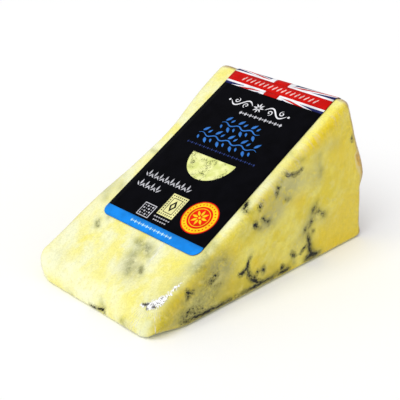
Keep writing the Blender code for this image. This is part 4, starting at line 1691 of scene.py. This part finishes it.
class CHEESE_OT_make_film(bpy.types.Operator):
    """Makes the tight clear film, with its pleats, folds and seam"""
    bl_idname = "cheese_wedge.make_film"
    bl_label = "Make film"

    def execute(self, context):
        mesh = divided_cube(context.scene.cheese_looks.cells)
        points = settled(sector_points(mesh), 0.0)
        fold = patch_share(points, FOLDS)
        straight = soft_bump(path_distance(points, *STRAIGHT_CREASE) * MM, 0.0, CREASE_WIDTH)
        # Painted shade of the fold's sharpest creases
        sharp = crack_depth(points, CREASE_SHADES)

        height = SWELL_HEIGHT * noise_heights(points, SWELL_SIZE)
        height = height + crinkle_relief(points) + pleat_relief(points)
        height = height * (1.0 - label_share(points)) + notch_relief(points)
        crumple = noise_heights(points, CRUMPLE_SIZE, CRUMPLE_SHIFT)
        crumple = CRUMPLE_LEAST + CRUMPLE_RANGE * crumple
        height = height + FOLD_HEIGHT * fold * crumple + CREASE_HEIGHT * straight
        height = height + seam_relief(points) + heel_pleats(points)
        raise_surface(mesh, points, height)
        material = film_material(context.scene.film_looks)
        piece = place_piece("clear_film", mesh, material)
        for name, values in (("fold", fold), ("ridge", 0.5 * straight),
                             ("crinkle", crinkle_share(points)), ("gather", gather_turn(points)),
                             ("crease", fading(sharp, *CREASE_EDGE)),
                             ("gathered", gathered_share(points))):
            store(piece, name, values)
        return {"FINISHED"}


class CHEESE_OT_make_label(bpy.types.Operator):
    """Makes the printed label, a plate of paper with plates of ink"""
    bl_idname = "cheese_wedge.make_label"
    bl_label = "Make label"

    def execute(self, context):
        for make in (make_label_paper, make_front_strip, make_flag_band, make_blue_garlands,
                     make_white_ornaments, make_picture, make_badge, make_panels, make_tail):
            make(context.scene.label_looks)
        return {"FINISHED"}


class CHEESE_OT_make_stage(bpy.types.Operator):
    """Makes the plain pale floor, the soft light and the camera"""
    bl_idname = "cheese_wedge.make_stage"
    bl_label = "Make stage"

    def execute(self, context):
        looks = context.scene.stage_looks
        make_floor(looks)
        make_sky(looks)
        make_key_light(looks)
        make_camera()
        context.scene.view_settings.view_transform = "Standard"
        return {"FINISHED"}


def make_floor(looks):
    """A wide, plain floor just under the pack."""
    mesh = bmesh.new()
    bmesh.ops.create_grid(mesh, x_segments=1, y_segments=1, size=FLOOR_REACH)
    data = bpy.data.meshes.new("floor")
    mesh.to_mesh(data)
    mesh.free()
    floor = add_object("floor", data)
    floor.location.z = -FLOOR_GAP
    paint = Paint("pale floor", roughness=0.9, specular=0.1)
    cloud = paint.noise(0.2, detail=2.0)
    lighter = tuple(min(1.0, channel * 1.02) for channel in looks.floor_colour)
    data.materials.append(paint.finish(paint.mix(cloud, tuple(looks.floor_colour), lighter)))


def make_sky(looks):
    """Even white light from all round."""
    world = bpy.data.worlds.new("soft white sky")
    world.use_nodes = True
    back = world.node_tree.nodes["Background"]
    back.inputs["Color"].default_value = (1.0, 1.0, 1.0, 1.0)
    back.inputs["Strength"].default_value = looks.sky_strength
    bpy.context.scene.world = world


def make_key_light(looks):
    """A broad, even light from above the nose, which leaves the near side softly shaded."""
    data = bpy.data.lights.new("key_light", "SUN")
    data.energy = looks.key_strength
    data.angle = looks.key_spread
    lamp = add_object("key_light", data)
    lamp.location = Vector(KEY_DIRECTION)
    lamp.rotation_euler = Vector(KEY_DIRECTION).to_track_quat("Z", "Y").to_euler()


def make_camera():
    """The photograph's view, from its fitted place, heading, dip and roll."""
    level = math.cos(CAMERA_DIP)
    ahead = Vector((math.cos(CAMERA_HEADING) * level, math.sin(CAMERA_HEADING) * level,
                    -math.sin(CAMERA_DIP)))
    right = Vector((math.sin(CAMERA_HEADING), -math.cos(CAMERA_HEADING), 0.0))
    up = right.cross(ahead)
    rolled_right = right * math.cos(CAMERA_ROLL) + up * math.sin(CAMERA_ROLL)
    rolled_up = up * math.cos(CAMERA_ROLL) - right * math.sin(CAMERA_ROLL)
    data = bpy.data.cameras.new("camera")
    data.lens = CAMERA_LENS
    data.sensor_width = CAMERA_SENSOR
    data.clip_start = 0.01
    camera = add_object("camera", data)
    axes = Matrix((rolled_right, rolled_up, -ahead)).transposed()
    camera.matrix_world = Matrix.Translation(CAMERA_PLACE) @ axes.to_4x4()
    bpy.context.scene.camera = camera


class CHEESE_PT_sidebar(bpy.types.Panel):
    """Lists the pieces of the pack and their settings"""
    bl_label = "Cheese wedge"
    bl_idname = "CHEESE_PT_sidebar"
    bl_space_type = "VIEW_3D"
    bl_region_type = "UI"
    bl_category = "Cheese wedge"

    def draw(self, context):
        for operator, group in (
            (CHEESE_OT_make_cheese, context.scene.cheese_looks),
            (CHEESE_OT_make_film, context.scene.film_looks),
            (CHEESE_OT_make_label, context.scene.label_looks),
            (CHEESE_OT_make_stage, context.scene.stage_looks),
        ):
            box = self.layout.box()
            box.operator(operator.bl_idname)
            for name in group.__annotations__:
                box.prop(group, name)


SETTINGS = {"cheese_looks": CheeseLooks, "film_looks": FilmLooks,
            "label_looks": LabelLooks, "stage_looks": StageLooks}
CLASSES = (*SETTINGS.values(), CHEESE_OT_make_cheese, CHEESE_OT_make_film,
           CHEESE_OT_make_label, CHEESE_OT_make_stage, CHEESE_PT_sidebar)


def register():
    for cls in CLASSES:
        bpy.utils.register_class(cls)
    for name, group in SETTINGS.items():
        setattr(bpy.types.Scene, name, PointerProperty(type=group))


def unregister():
    for name in SETTINGS:
        delattr(bpy.types.Scene, name)
    for cls in reversed(CLASSES):
        bpy.utils.unregister_class(cls)


def main():
    register()
    bpy.ops.cheese_wedge.make_cheese()
    bpy.ops.cheese_wedge.make_film()
    bpy.ops.cheese_wedge.make_label()
    bpy.ops.cheese_wedge.make_stage()


if __name__ == "__main__":
    main()
